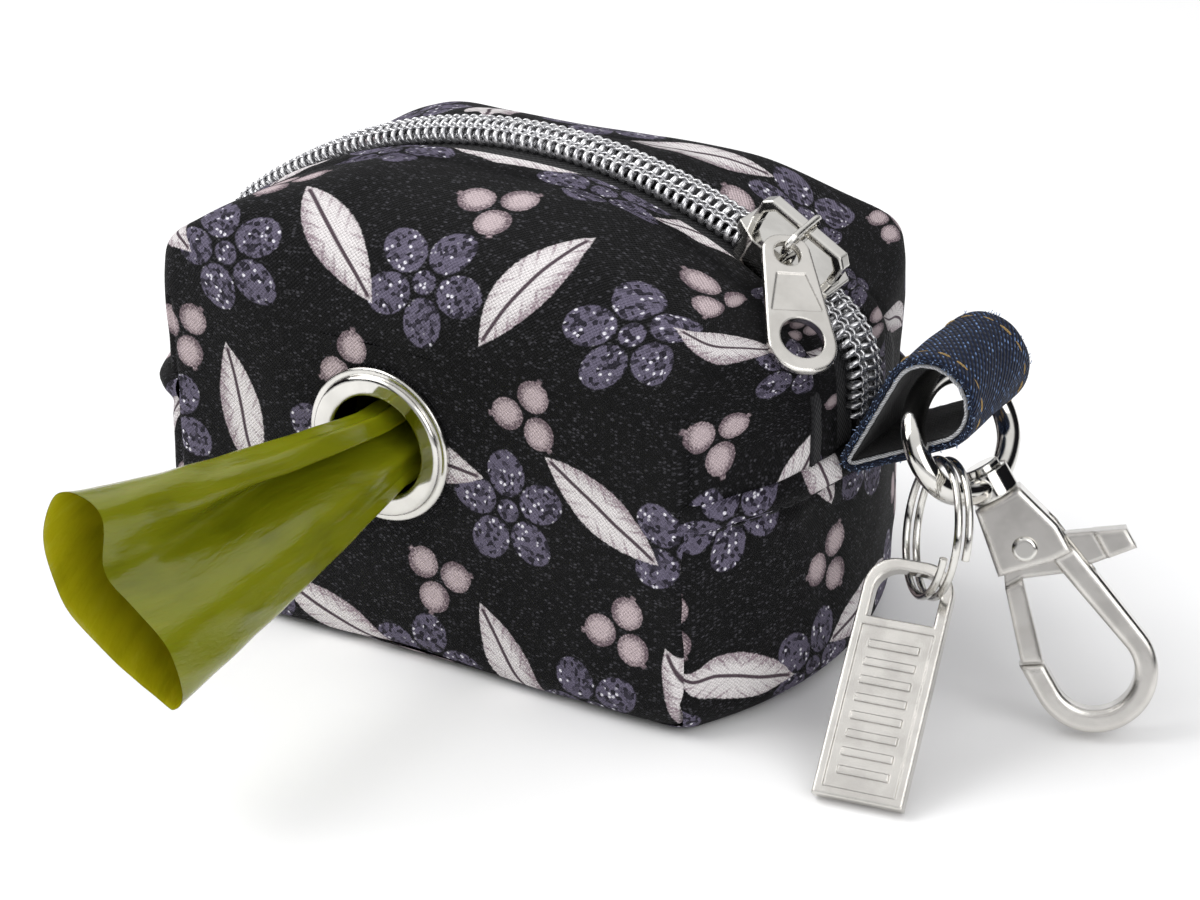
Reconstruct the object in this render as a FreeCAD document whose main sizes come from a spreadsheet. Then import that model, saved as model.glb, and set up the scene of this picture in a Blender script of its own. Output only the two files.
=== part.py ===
"""Zipped fabric pouch for a roll of bags: eyelet, pulled bag, denim loop, swivel clasp, split ring and tag.

Frame: the origin is the middle of the pouch's base, +X towards the loop, -Y towards the eyelet, +Z up.
All lengths are millimetres.
"""
import FreeCAD, Part
import math
import os

import Sketcher
from FreeCAD import Placement, Rotation, Vector

os.makedirs("parts", exist_ok=True)
doc = FreeCAD.newDocument("pouch")
sheet = doc.addObject("Spreadsheet::Sheet", "sizes")

# Driving dimensions: alias, value, what it is
DIMENSIONS = [
    ("pouch_width", 88.0, "front panel between its corner seams"),
    ("end_bulge", 10.0, "how far each end swells beyond the corner seams"),
    ("pouch_depth", 66.0, "front face to back face"),
    ("pouch_height", 72.0, "base to the top of the fabric crown"),
    ("crown_radius", 80.0, "arc of the top seen from the front"),
    ("end_corner_radius", 12.0, "top corners seen from the front"),
    ("roof_radius", 55.0, "arc of the top seen from the end"),
    ("shoulder_radius", 18.0, "top corners seen from the end"),
    ("end_base_radius", 6.0, "bottom corners seen from the front"),
    ("front_base_radius", 5.0, "bottom corners seen from the end"),
    ("fabric_thickness", 1.7, "outer fabric with its turned edges"),
    ("lining_thickness", 0.6, "lining cloth"),
    ("base_seam_height", 3.0, "seam between base panel and front panel"),
    ("end_seam_height", 36.5, "seam across each end"),
    ("seam_fold", 1.8, "rolled fold along the end seam, beyond the fabric"),
    ("seam_fold_height", 4.0, "that fold from its lower edge to the seam"),
    ("zip_opening", 12.8, "between the two fabric edges along the zip"),
    ("tape_thickness", 0.5, "woven zip tape"),
    ("tape_reach", 13.0, "zip middle to the outer edge of a tape"),
    ("coil_split", 1.2, "between the two coils"),
    ("coil_width", 3.5, "one coil across the zip"),
    ("coil_height", 3.0, "coil above its tape"),
    ("zip_end_rise", 5.0, "lowest point of the coils above the end seam"),
    ("slider_length", 16.5, "slider along the zip"),
    ("slider_width", 11.8, "slider nose across the zip"),
    ("slider_tail_width", 11.2, "slider tail across the zip"),
    ("slider_play", 0.35, "slider to coil and tape"),
    ("upper_plate", 1.3, "slider upper plate"),
    ("lower_plate", 1.1, "slider lower plate"),
    ("flange_thickness", 1.3, "slider side flanges"),
    ("blade_thickness", 0.6, "slider wedge between the coils"),
    ("blade_length", 6.0, "slider wedge along the zip"),
    ("crown_bar_width", 2.4, "slider crown across the zip"),
    ("crown_bar_thickness", 1.2, "slider crown"),
    ("crown_window", 3.0, "free height under the slider crown"),
    ("crown_bar_length", 15.0, "slider crown along the zip"),
    ("slider_end_room", 1.7, "slider to the start of the end corner, along the zip"),
    ("link_wire", 1.0, "wire of the link between slider and pull"),
    ("link_length", 7.9, "link between its end wires"),
    ("link_height", 4.0, "link between its long wires"),
    ("link_reach", 5.8, "crown bar to the front wire of the link"),
    ("link_droop", 14.0, "how far the link slopes down to the front"),
    ("tab_length", 22.0, "pull tab"),
    ("tab_width", 10.0, "pull tab at its foot"),
    ("tab_head_width", 6.6, "pull tab at its eye"),
    ("tab_thickness", 1.3, "pull tab"),
    ("tab_eye", 4.0, "bore of the pull tab's eye"),
    ("tab_eye_rim", 1.2, "metal above the pull tab's eye"),
    ("tab_hole", 6.4, "hole in the foot of the pull tab"),
    ("tab_hole_rim", 2.0, "metal below that hole"),
    ("tab_panel_depth", 0.2, "sunk panel on the pull tab"),
    ("tab_panel_margin", 1.2, "rim round that panel"),
    ("eyelet_x", -6.0, "eyelet from the pouch middle"),
    ("eyelet_drop", 37.1, "eyelet below the top of the pouch"),
    ("eyelet_bore", 15.5, "free bore of the eyelet"),
    ("eyelet_wall", 0.7, "eyelet barrel"),
    ("eyelet_flange", 23.6, "eyelet outer diameter"),
    ("eyelet_rise", 1.7, "eyelet flange above the fabric"),
    ("eyelet_lip_width", 1.0, "step round the flange"),
    ("eyelet_lip_rise", 0.8, "height of that step"),
    ("washer_width", 3.0, "eyelet washer ring"),
    ("washer_thickness", 0.8, "eyelet washer"),
    ("curl_width", 1.2, "barrel end rolled over the washer"),
    ("curl_thickness", 0.7, "rolled barrel end"),
    ("strap_width", 19.4, "denim loop across"),
    ("denim_thickness", 1.1, "denim layer of the loop"),
    ("strap_lining", 0.6, "lining layer of the loop"),
    ("loop_length", 24.5, "loop from its seam to its tip"),
    ("loop_round", 6.9, "outer radius of the open end of the loop"),
    ("loop_root_round", 1.9, "outer radius at the seam"),
    ("loop_angle", 45.0, "how far the loop points up"),
    ("loop_seat", 0.3, "loop root to the pouch end"),
    ("ring_wire", 3.4, "wire of the swivel ring"),
    ("ring_half_width", 12.7, "swivel ring middle line, half width"),
    ("ring_half_height", 8.3, "swivel ring middle line, half height"),
    ("ring_end_radius", 6.6, "swivel ring middle line, its tight ends"),
    ("ring_back", 3.7, "loop middle to the ring's top wire, back towards the pouch"),
    ("ring_sag", 0.9, "loop middle to the ring's top wire, downwards"),
    ("ring_tilt", 35.0, "clasp axis from the vertical"),
    ("boss_diameter", 6.8, "boss at the foot of the swivel ring"),
    ("boss_length", 3.8, "that boss along the swivel axis"),
    ("swivel_pin", 3.2, "swivel pin shaft"),
    ("swivel_fit", 0.05, "radial play of the swivel pin"),
    ("swivel_play", 0.1, "end play of the swivel pin"),
    ("pin_head", 5.2, "swivel pin head"),
    ("pin_head_height", 1.1, "swivel pin head"),
    ("pin_depth", 4.2, "swivel pin inside the clasp"),
    ("clasp_spin", 63.0, "how far the clasp face turns from the ring"),
    ("clasp_thickness", 5.8, "clasp body front to back"),
    ("clasp_head_width", 7.0, "clasp body at the swivel"),
    ("clasp_left_reach", 5.2, "clasp axis to the foot of the body, gate side"),
    ("clasp_right_reach", 5.6, "clasp axis to the shoulder, lever side"),
    ("clasp_shoulder", 7.2, "clasp top to the lever side shoulder"),
    ("clasp_body_length", 9.8, "clasp top to the foot of the body"),
    ("clasp_foot_rise", 1.6, "foot of the body, lever side below gate side"),
    ("hook_round", 8.8, "outer radius of the hook"),
    ("hook_bar", 3.2, "hook bar in the plane of the hook"),
    ("hook_thickness", 4.0, "hook bar front to back"),
    ("hook_drop", 28.2, "clasp top to the middle of the hook's arc"),
    ("nose_rise", 4.2, "hook nose above the middle of its arc"),
    ("slot_width", 3.0, "slot for the trigger"),
    ("slot_start", 5.6, "clasp top to the slot"),
    ("trigger_play", 0.25, "trigger to the slot walls, each side"),
    ("rivet_drop", 7.9, "clasp top to the trigger rivet"),
    ("rivet_diameter", 2.2, "trigger rivet shaft"),
    ("rivet_fit", 0.05, "radial play of the trigger on its rivet"),
    ("rivet_head", 3.6, "trigger rivet head"),
    ("rivet_head_height", 0.7, "trigger rivet head"),
    ("trigger_hub", 3.4, "radius of the trigger about its rivet"),
    ("gate_width", 2.8, "trigger gate"),
    ("gate_gap", 0.4, "gate to the hook nose"),
    ("lever_reach", 13.6, "clasp axis to the lever tip"),
    ("lever_tip_drop", 7.4, "rivet to the lever tip, along the clasp"),
    ("lever_root_width", 4.4, "lever where it leaves the body"),
    ("lever_tip_width", 3.0, "lever at its tip"),
    ("pad_start", 9.4, "clasp axis to the thick thumb end of the lever"),
    ("spring_wire", 0.35, "trigger spring wire"),
    ("spring_pitch", 0.8, "trigger spring turn to turn"),
    ("spring_room", 0.3, "trigger spring to the metal round it"),
    ("split_radius", 9.5, "split ring middle line"),
    ("split_wire", 1.1, "split ring wire"),
    ("split_pitch", 1.54, "split ring turn to turn"),
    ("split_hang", 5.75, "swivel ring wire to the split ring's centre"),
    ("split_turn", 50.0, "split ring's face from the pouch front"),
    ("split_lean", 10.0, "split ring from the vertical"),
    ("split_seat", 48.0, "where the split ring hangs, round the swivel ring's tight end"),
    ("tag_width", 12.8, "tag"),
    ("tag_length", 34.9, "tag with its loop"),
    ("tag_thickness", 2.4, "tag"),
    ("tag_bar", 1.7, "bar of the tag's loop"),
    ("tag_window", 7.2, "height of the window in the tag's loop"),
    ("tag_turn", -9.0, "tag's face from the pouch front"),
    ("tag_lean", 45.0, "tag from the vertical"),
    ("tag_hold", 2.2, "split ring wire up to the top of the tag's window"),
    ("tag_shift", 0.8, "tag's middle beside the split ring's lowest point"),
    ("tag_panel_margin", 1.3, "rim round the tag's sunk panel"),
    ("tag_panel_depth", 0.35, "sunk panel of the tag"),
    ("tag_rib_width", 1.1, "plain ribs on the tag"),
    ("tag_rib_gap", 1.5, "between those ribs"),
    ("roll_diameter", 33.0, "roll of bags"),
    ("roll_length", 60.0, "roll of bags"),
    ("roll_gap", 0.3, "roll to the lining"),
    ("roll_back", 10.0, "roll axis behind the pouch middle"),
    ("core_diameter", 13.0, "cardboard core"),
    ("core_wall", 1.3, "cardboard core"),
    ("bag_inside", 22.0, "pulled bag behind the pouch front"),
    ("bag_reach", 55.0, "pulled bag in front of the pouch front"),
    ("bag_flare_start", 3.2, "start of the bag's flare in front of the pouch front"),
    ("bag_neck_width", 12.9, "pulled bag in the eyelet"),
    ("bag_neck_height", 10.6, "pulled bag in the eyelet"),
    ("bag_mouth_length", 32.0, "mouth of the pulled bag"),
    ("bag_mouth_width", 12.6, "mouth of the pulled bag"),
    ("bag_wall", 0.6, "bag film with its folds"),
    ("bag_pocket", 36.0, "how deep the mouth stands open"),
    ("bag_tilt", 32.0, "mouth's long way from the vertical"),
    ("bag_neck_drop", 1.1, "pulled bag's neck below the middle of the eyelet"),
    ("bag_mouth_shift", -4.2, "mouth beside the eyelet"),
    ("bag_mouth_rise", -1.7, "mouth above the eyelet"),
    ("fold_start", 6.0, "start of the bag's deep fold in front of the pouch front"),
    ("fold_start_width", 3.4, "fold where it starts"),
    ("fold_start_depth", 2.6, "fold where it starts"),
    ("fold_middle_width", 8.0, "fold half way out"),
    ("fold_middle_depth", 6.6, "fold half way out"),
    ("fold_mouth_width", 13.0, "fold at the mouth"),
    ("fold_mouth_depth", 3.5, "fold at the mouth"),
    ("fold_mouth_rise", 1.8, "fold at the mouth above the middle of the oval"),
    ("edge_round", 0.7, "rounded edges of the castings"),
    ("small_round", 0.35, "rounded edges of the small metal pieces"),
    ("overrun", 5.0, "how far cutting shapes run past what they cut"),
]

for row, (alias, value, meaning) in enumerate(DIMENSIONS, start=1):
    sheet.set(f"A{row}", alias)
    sheet.set(f"B{row}", str(value))
    sheet.set(f"C{row}", meaning)
    sheet.setAlias(f"B{row}", alias)
doc.recompute()


class Term:
    """A length or angle worked out from the sheet: its value, and the formula that keeps it bound."""

    def __init__(self, value, text):
        self.value = value
        self.text = text

    def __add__(self, other):
        other = as_term(other)
        return Term(self.value + other.value, f"({self.text} + {other.text})")

    def __sub__(self, other):
        other = as_term(other)
        return Term(self.value - other.value, f"({self.text} - {other.text})")

    def __mul__(self, share):
        return Term(self.value * share, f"({self.text} * {share})")

    def __truediv__(self, share):
        return Term(self.value / share, f"({self.text} / {share})")

    def __neg__(self):
        return Term(-self.value, f"(-{self.text})")


ZERO = Term(0.0, "0")


def root(total, part):
    """The other short side of a right triangle, from its long side and one short side."""
    value = math.sqrt(total.value ** 2 - part.value ** 2)
    return Term(value, f"sqrt({total.text} ^ 2 - {part.text} ^ 2)")


def slant(first, second):
    """The long side of a right triangle, from its short sides."""
    value = math.hypot(first.value, second.value)
    return Term(value, f"sqrt({first.text} ^ 2 + {second.text} ^ 2)")


def as_term(value):
    """Zero is the only plain number that joins a sum of sizes."""
    return value if isinstance(value, Term) else ZERO


def size(alias):
    """The named cell as a term."""
    return Term(float(sheet.get(alias)), f"sizes.{alias}")


def number(alias):
    """The named cell's value."""
    return float(sheet.get(alias))


def bind(thing, **terms):
    """Sets each named property from its term and keeps it bound to the sheet."""
    for name, term in terms.items():
        setattr(thing, name, term.value)
        thing.setExpression(name, term.text)
    return thing


def bind_base(thing, x=ZERO, y=ZERO, z=ZERO, rotation=None):
    """Places a shape, with its base point bound to the sheet."""
    thing.Placement = Placement(Vector(x.value, y.value, z.value), rotation or Rotation())
    for axis, term in (("x", x), ("y", y), ("z", z)):
        thing.setExpression(f"Placement.Base.{axis}", term.text)
    return thing


NODES = []

# Shares of the sizes that they follow, and counts
SLACK_SHARE = 0.0002
NOSE_SHARE = 0.55
FOOT_ROUND_SHARE = 0.9
EYE_REST_SHARE = 0.7
ROUND_HEAD_SHARE = 0.8
LOOP_ROUND_SHARE = 0.7
BAG_TAIL_SHARE = 2
BAG_BEHIND_SHARE = 0.45
FOLD_MIDDLE_SHARE = 0.5
STRAND_SHARE = 0.25
SPRING_TURNS = 1.5
SPLIT_TURNS = 2
QUARTERS = 4
GAP_POINTS = 12
HUB_SHARE = 0.5


def node(thing, label):
    """Marks a finished sub-part and gives it its name."""
    thing.Label = label
    NODES.append(thing)
    return thing


# Small builders for primitives, booleans and sketches

def block(name, low, high):
    """A box between two corners given as terms."""
    box = doc.addObject("Part::Box", name)
    bind(box, Length=high[0] - low[0], Width=high[1] - low[1], Height=high[2] - low[2])
    return bind_base(box, *low)


def cylinder(name, radius, height, x=ZERO, y=ZERO, z=ZERO, rotation=None):
    """A cylinder from its base point along its own Z."""
    rod = doc.addObject("Part::Cylinder", name)
    bind(rod, Radius=radius, Height=height)
    return bind_base(rod, x, y, z, rotation)


def cut(name, base, tool):
    """Base without tool."""
    result = doc.addObject("Part::Cut", name)
    result.Base = base
    result.Tool = tool
    return result


def common(name, *shapes):
    """What all the shapes share."""
    result = doc.addObject("Part::MultiCommon", name)
    result.Shapes = list(shapes)
    return result


def fuse(name, *shapes):
    """All the shapes as one solid."""
    result = doc.addObject("Part::MultiFuse", name)
    result.Shapes = list(shapes)
    result.Refine = True
    return result


def pin_point(sketch, name, geometry, point, x, y):
    """Holds one point of a sketch at bound coordinates."""
    for kind, axis, term in (("DistanceX", "x", x), ("DistanceY", "y", y)):
        index = sketch.addConstraint(Sketcher.Constraint(kind, -1, 1, geometry, point, term.value))
        sketch.renameConstraint(index, f"{name}_{axis}")
        sketch.setExpression(f"Constraints.{name}_{axis}", term.text)


def pin_radius(sketch, name, geometry, radius):
    """Holds a circle's or arc's radius at a bound value."""
    index = sketch.addConstraint(Sketcher.Constraint("Radius", geometry, radius.value))
    sketch.renameConstraint(index, name)
    sketch.setExpression(f"Constraints.{name}", radius.text)


def draw_polygon(sketch, name, points):
    """A closed outline of straight lines through bound corners."""
    first = sketch.GeometryCount
    count = len(points)
    for index, (x, y) in enumerate(points):
        nx, ny = points[(index + 1) % count]
        sketch.addGeometry(Part.LineSegment(Vector(x.value, y.value, 0), Vector(nx.value, ny.value, 0)))
    for index, (x, y) in enumerate(points):
        following = (index + 1) % count
        sketch.addConstraint(Sketcher.Constraint("Coincident", first + index, 2, first + following, 1))
        pin_point(sketch, f"{name}{index}", first + index, 1, x, y)


def draw_circle(sketch, name, x, y, radius):
    """A circle with bound middle and radius."""
    index = sketch.addGeometry(Part.Circle(Vector(x.value, y.value, 0), Vector(0, 0, 1), radius.value))
    pin_point(sketch, name, index, 3, x, y)
    pin_radius(sketch, f"{name}_radius", index, radius)


def draw_hull(sketch, name, near_x, near_radius, far_x, far_radius):
    """The outline round two circles on the sketch's X axis: two arcs joined by their tangent lines."""
    rise = math.acos((near_radius.value - far_radius.value) / (far_x.value - near_x.value))
    near, far = Vector(near_x.value, 0, 0), Vector(far_x.value, 0, 0)
    up = Vector(math.cos(rise), math.sin(rise), 0)
    down = Vector(math.cos(rise), -math.sin(rise), 0)
    turn = 2 * math.pi
    near_arc = sketch.addGeometry(Part.ArcOfCircle(
        Part.Circle(near, Vector(0, 0, 1), near_radius.value), rise, turn - rise))
    bottom = sketch.addGeometry(
        Part.LineSegment(near + down * near_radius.value, far + down * far_radius.value))
    far_arc = sketch.addGeometry(Part.ArcOfCircle(
        Part.Circle(far, Vector(0, 0, 1), far_radius.value), -rise, rise))
    top = sketch.addGeometry(Part.LineSegment(far + up * far_radius.value, near + up * near_radius.value))
    chain = [near_arc, bottom, far_arc, top]
    for index, piece in enumerate(chain):
        sketch.addConstraint(Sketcher.Constraint("Tangent", piece, 2, chain[(index + 1) % len(chain)], 1))
    pin_point(sketch, f"{name}_near", near_arc, 3, near_x, ZERO)
    pin_point(sketch, f"{name}_far", far_arc, 3, far_x, ZERO)
    pin_radius(sketch, f"{name}_near_radius", near_arc, near_radius)
    pin_radius(sketch, f"{name}_far_radius", far_arc, far_radius)


ON_FRONT = Rotation(Vector(1, 0, 0), 90)
ON_END = Rotation(Vector(1, 1, 1), 120)
ON_FLOOR = Rotation()


def loose_sketch(name, rotation):
    """A sketch that stands by itself on one of the main planes."""
    sketch = doc.addObject("Sketcher::SketchObject", name)
    sketch.Placement = Placement(Vector(), rotation)
    return sketch


def extrude(name, sketch, reach):
    """A solid both ways from a sketch, each way as long as reach."""
    solid = doc.addObject("Part::Extrusion", name)
    solid.Base = sketch
    solid.DirMode = "Normal"
    solid.Solid = True
    return bind(solid, LengthFwd=reach, LengthRev=reach)


def new_body(name):
    """An empty body."""
    return doc.addObject("PartDesign::Body", name)


def body_sketch(body, name, role="XY_Plane"):
    """A sketch on one of a body's own planes."""
    sketch = body.newObject("Sketcher::SketchObject", name)
    plane = next(item for item in body.Origin.OriginFeatures if item.Role == role)
    sketch.AttachmentSupport = (plane, "")
    sketch.MapMode = "FlatFace"
    return sketch


def pad(body, name, sketch, length):
    """A pad as thick as length, half of it on each side of its sketch."""
    feature = body.newObject("PartDesign::Pad", name)
    feature.Profile = sketch
    feature.SideType = "Symmetric"
    return bind(feature, Length=length)


def pocket(body, name, sketch, length):
    """A pocket as deep as length, half of it on each side of its sketch."""
    feature = body.newObject("PartDesign::Pocket", name)
    feature.Profile = sketch
    feature.SideType = "Symmetric"
    return bind(feature, Length=length)


def pocket_from(body, name, sketch, height, length):
    """A pocket that starts at a height above its sketch and goes down by length."""
    sketch.setExpression("AttachmentOffset.Base.z", height.text)
    feature = body.newObject("PartDesign::Pocket", name)
    feature.Profile = sketch
    return bind(feature, Length=length)


def revolve(body, name, sketch):
    """A full turn about the sketch's own upright axis."""
    feature = body.newObject("PartDesign::Revolution", name)
    feature.Profile = sketch
    feature.ReferenceAxis = (sketch, ["V_Axis"])
    feature.Angle = 360.0
    return feature


def round_edges(body, name, base, radius, wanted):
    """Fillets the edges of a feature that a test picks out."""
    doc.recompute()
    names = [f"Edge{index}" for index, edge in enumerate(base.Shape.Edges, start=1) if wanted(edge)]
    feature = body.newObject("PartDesign::Fillet", name)
    feature.Base = (base, names)
    return bind(feature, Radius=radius)


def flat_at(height, edge):
    """Whether an edge lies wholly in the plane at a height of the body's own Z."""
    box = edge.BoundBox
    slack = number("overrun") * SLACK_SHARE
    return abs(box.ZMin - height) < slack and abs(box.ZMax - height) < slack


# The pouch's form: three crossed profiles, drawn at any inset from the outer surface

def draw_arch(sketch, half_width, height, corner, crown, base, inset):
    """A rounded arch: flat base, upright sides, round corners and a crowned top, all moved in by inset."""
    wide = (half_width - inset).value
    top_r, crown_r, base_r = (corner - inset).value, (crown - inset).value, (base - inset).value
    low = inset.value
    crown_z = (height - crown).value
    corner_x = wide - top_r
    corner_z = crown_z + math.sqrt((crown_r - top_r) ** 2 - corner_x ** 2)
    lean = math.atan2(corner_z - crown_z, corner_x)
    up, quarter, half = Vector(0, 0, 1), math.pi / 2, math.pi

    def arc(x, z, radius, start, end):
        return sketch.addGeometry(Part.ArcOfCircle(Part.Circle(Vector(x, z, 0), up, radius), start, end))

    def line(x, z, next_x, next_z):
        return sketch.addGeometry(Part.LineSegment(Vector(x, z, 0), Vector(next_x, next_z, 0)))

    floor = line(base_r - wide, low, wide - base_r, low)
    base_right = arc(wide - base_r, low + base_r, base_r, -quarter, 0)
    right = line(wide, low + base_r, wide, corner_z)
    top_right = arc(corner_x, corner_z, top_r, 0, lean)
    roof = arc(0, crown_z, crown_r, lean, half - lean)
    top_left = arc(-corner_x, corner_z, top_r, half - lean, half)
    left = line(-wide, corner_z, -wide, low + base_r)
    base_left = arc(base_r - wide, low + base_r, base_r, half, half + quarter)
    chain = [floor, base_right, right, top_right, roof, top_left, left, base_left]
    for index, piece in enumerate(chain):
        sketch.addConstraint(Sketcher.Constraint("Tangent", piece, 2, chain[(index + 1) % len(chain)], 1))
    sketch.addConstraint(Sketcher.Constraint("Horizontal", floor))
    sketch.addConstraint(Sketcher.Constraint("Vertical", right))
    sketch.addConstraint(Sketcher.Constraint("Vertical", left))
    for name, piece, radius in (("base_right", base_right, base), ("base_left", base_left, base),
                                ("top_right", top_right, corner), ("top_left", top_left, corner),
                                ("roof", roof, crown)):
        pin_radius(sketch, f"{name}_radius", piece, radius - inset)
    pin_point(sketch, "roof", roof, 3, ZERO, height - crown)
    for kind, name, piece, term in (("DistanceY", "floor", floor, inset),
                                    ("DistanceX", "right", right, half_width - inset),
                                    ("DistanceX", "left", left, inset - half_width)):
        index = sketch.addConstraint(Sketcher.Constraint(kind, -1, 1, piece, 1, term.value))
        sketch.renameConstraint(index, name)
        sketch.setExpression(f"Constraints.{name}", term.text)


half_front = size("pouch_width") / 2
half_depth = size("pouch_depth") / 2
half_length = half_front + size("end_bulge")


def bulge_radius():
    """The arc through both corner seams of an end and the middle of its swelling."""
    chord, rise = half_depth.value, number("end_bulge")
    value = (chord ** 2 + rise ** 2) / (2 * rise)
    text = f"(({half_depth.text}) ^ 2 + sizes.end_bulge ^ 2) / (2 * sizes.end_bulge)"
    return Term(value, text)


def draw_plan(sketch, inset):
    """The pouch from above: straight front and back, ends that swell outwards, all moved in by inset."""
    radius = bulge_radius() - inset
    middle = half_length - bulge_radius()
    side = half_depth - inset
    spread = math.asin(side.value / radius.value)
    tip = Vector(middle.value, 0, 0)
    edge_x = middle.value + radius.value * math.cos(spread)
    up = Vector(0, 0, 1)
    right = sketch.addGeometry(Part.ArcOfCircle(Part.Circle(tip, up, radius.value), -spread, spread))
    back = sketch.addGeometry(
        Part.LineSegment(Vector(edge_x, side.value, 0), Vector(-edge_x, side.value, 0)))
    left = sketch.addGeometry(Part.ArcOfCircle(
        Part.Circle(tip * -1, up, radius.value), math.pi - spread, math.pi + spread))
    front = sketch.addGeometry(
        Part.LineSegment(Vector(-edge_x, -side.value, 0), Vector(edge_x, -side.value, 0)))
    chain = [right, back, left, front]
    for index, piece in enumerate(chain):
        following = chain[(index + 1) % len(chain)]
        sketch.addConstraint(Sketcher.Constraint("Coincident", piece, 2, following, 1))
    sketch.addConstraint(Sketcher.Constraint("Horizontal", back))
    sketch.addConstraint(Sketcher.Constraint("Horizontal", front))
    pin_point(sketch, "right_middle", right, 3, middle, ZERO)
    pin_point(sketch, "left_middle", left, 3, -middle, ZERO)
    pin_radius(sketch, "right_radius", right, radius)
    pin_radius(sketch, "left_radius", left, radius)
    for name, piece, term in (("back", back, side), ("front", front, -side)):
        index = sketch.addConstraint(Sketcher.Constraint("DistanceY", -1, 1, piece, 1, term.value))
        sketch.renameConstraint(index, name)
        sketch.setExpression(f"Constraints.{name}", term.text)


def pouch_form(name, inset):
    """The whole pouch as a solid, its surface moved in by inset."""
    front = loose_sketch(f"{name}_front", ON_FRONT)
    draw_arch(front, half_length, size("pouch_height"), size("end_corner_radius"), size("crown_radius"),
              size("end_base_radius"), inset)
    end = loose_sketch(f"{name}_end", ON_END)
    draw_arch(end, half_depth, size("pouch_height"), size("shoulder_radius"), size("roof_radius"),
              size("front_base_radius"), inset)
    plan = loose_sketch(f"{name}_plan", ON_FLOOR)
    draw_plan(plan, inset)
    return common(
        name,
        extrude(f"{name}_front_solid", front, size("pouch_depth")),
        extrude(f"{name}_end_solid", end, size("pouch_width")),
        extrude(f"{name}_plan_solid", plan, size("pouch_height") + size("overrun")))


tape_top = size("fabric_thickness") - size("tape_thickness")
outer_form = pouch_form("outer_form", ZERO)
tape_form = pouch_form("tape_form", tape_top)
fabric_form = pouch_form("fabric_form", size("fabric_thickness"))
lining_form = pouch_form("lining_form", size("fabric_thickness") + size("lining_thickness"))
coil_form = pouch_form("coil_form", tape_top - size("coil_height"))
fold_form = pouch_form("fold_form", -size("seam_fold"))

# Fabric panels, lining and zip
far_x = half_length + size("overrun")
far_y = half_depth + size("overrun")
far_z = size("pouch_height") + size("overrun")
wall = size("fabric_thickness")
below = -size("overrun")

fabric_shell = cut("fabric_shell", outer_form, fabric_form)
base_region = fuse(
    "base_region",
    block("base_floor", (-far_x, -far_y, below), (far_x, far_y, size("base_seam_height"))),
    block("base_right", (half_front - wall, -far_y, below), (far_x, far_y, size("end_seam_height"))),
    block("base_left", (-far_x, -far_y, below), (wall - half_front, far_y, size("end_seam_height"))))
fold_low = size("end_seam_height") - size("seam_fold_height")
fold_region = fuse(
    "fold_region",
    block("fold_right", (half_front, -half_depth, fold_low), (far_x, half_depth, size("end_seam_height"))),
    block("fold_left", (-far_x, -half_depth, fold_low), (-half_front, half_depth, size("end_seam_height"))))
fold_shell = cut("fold_shell", fold_form, outer_form)
node(fuse("base_panel_shape", common("base_sheet", fabric_shell, base_region),
          common("end_folds", fold_shell, fold_region)), "base_panel")
upper_shell = cut("upper_shell", fabric_shell, base_region)

zip_edge = size("zip_opening") / 2
coil_near = size("coil_split") / 2
coil_far = coil_near + size("coil_width")
tape_far = size("tape_reach")
tape_shell = cut("tape_shell", tape_form, fabric_form)
coil_shell = cut("coil_shell", coil_form, tape_form)
eyelet_barrel = size("eyelet_bore") / 2 + size("eyelet_wall")
eyelet_z = size("pouch_height") - size("eyelet_drop")
eyelet_hole = cylinder("eyelet_hole", eyelet_barrel, size("pouch_depth"), size("eyelet_x"), ZERO, eyelet_z,
                       ON_FRONT)


def side_slab(name, side, near, far, low):
    """The space from near to far on one side of the zip, above a height."""
    if side < 0:
        return block(name, (-far_x, -far, low), (far_x, -near, far_z))
    return block(name, (-far_x, near, low), (far_x, far, far_z))


SIDES = {"front": -1, "back": 1}
for word, side in SIDES.items():
    tape_slab = side_slab(f"tape_{word}_slab", side, coil_near, tape_far, size("end_seam_height"))
    tape = common(f"tape_{word}", tape_shell, tape_slab)
    panel_slab = side_slab(f"half_{word}_slab", side, zip_edge, far_y, below)
    panel = common(f"half_{word}", upper_shell, panel_slab)
    panel = cut(f"rebated_{word}", panel, tape)
    if side < 0:
        panel = cut("pierced_front", panel, eyelet_hole)
    node(panel, f"{word}_panel")
    node(tape, f"zip_tape_{word}")
    coil_foot = size("end_seam_height") + size("zip_end_rise")
    coil_slab = side_slab(f"coil_{word}_slab", side, coil_near, coil_far, coil_foot)
    node(common(f"coil_{word}", coil_shell, coil_slab), f"zip_coil_{word}")

lining_slot = block("lining_slot", (-far_x, -zip_edge, size("end_seam_height")), (far_x, zip_edge, far_z))
lining_shell = cut("lining_shell", fabric_form, lining_form)
node(cut("pierced_lining", cut("slotted_lining", lining_shell, lining_slot), eyelet_hole), "lining")

# Zip slider: two plates curved about the crown's centre, side flanges, a wedge and a raised crown bar
crown_z = size("pouch_height") - size("crown_radius")
tape_radius = size("crown_radius") - tape_top
coil_radius = tape_radius + size("coil_height")
play = size("slider_play")
upper_low = coil_radius + play
upper_high = upper_low + size("upper_plate")
lower_high = tape_radius - size("tape_thickness") - play
lower_low = lower_high - size("lower_plate")
flange_low = tape_radius + play
half_slider = size("slider_length") / 2
half_nose = size("slider_width") / 2
half_tail = size("slider_tail_width") / 2
slider_reach = size("slider_width")


def arc_shell(name, low, high):
    """A shell between two radii about the crown's centre, across the zip."""
    outer = cylinder(f"{name}_outer", high, slider_reach * 2, ZERO, slider_reach, ZERO, ON_FRONT)
    inner = cylinder(f"{name}_inner", low, slider_reach * 2, ZERO, slider_reach, ZERO, ON_FRONT)
    return cut(name, outer, inner)


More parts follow.
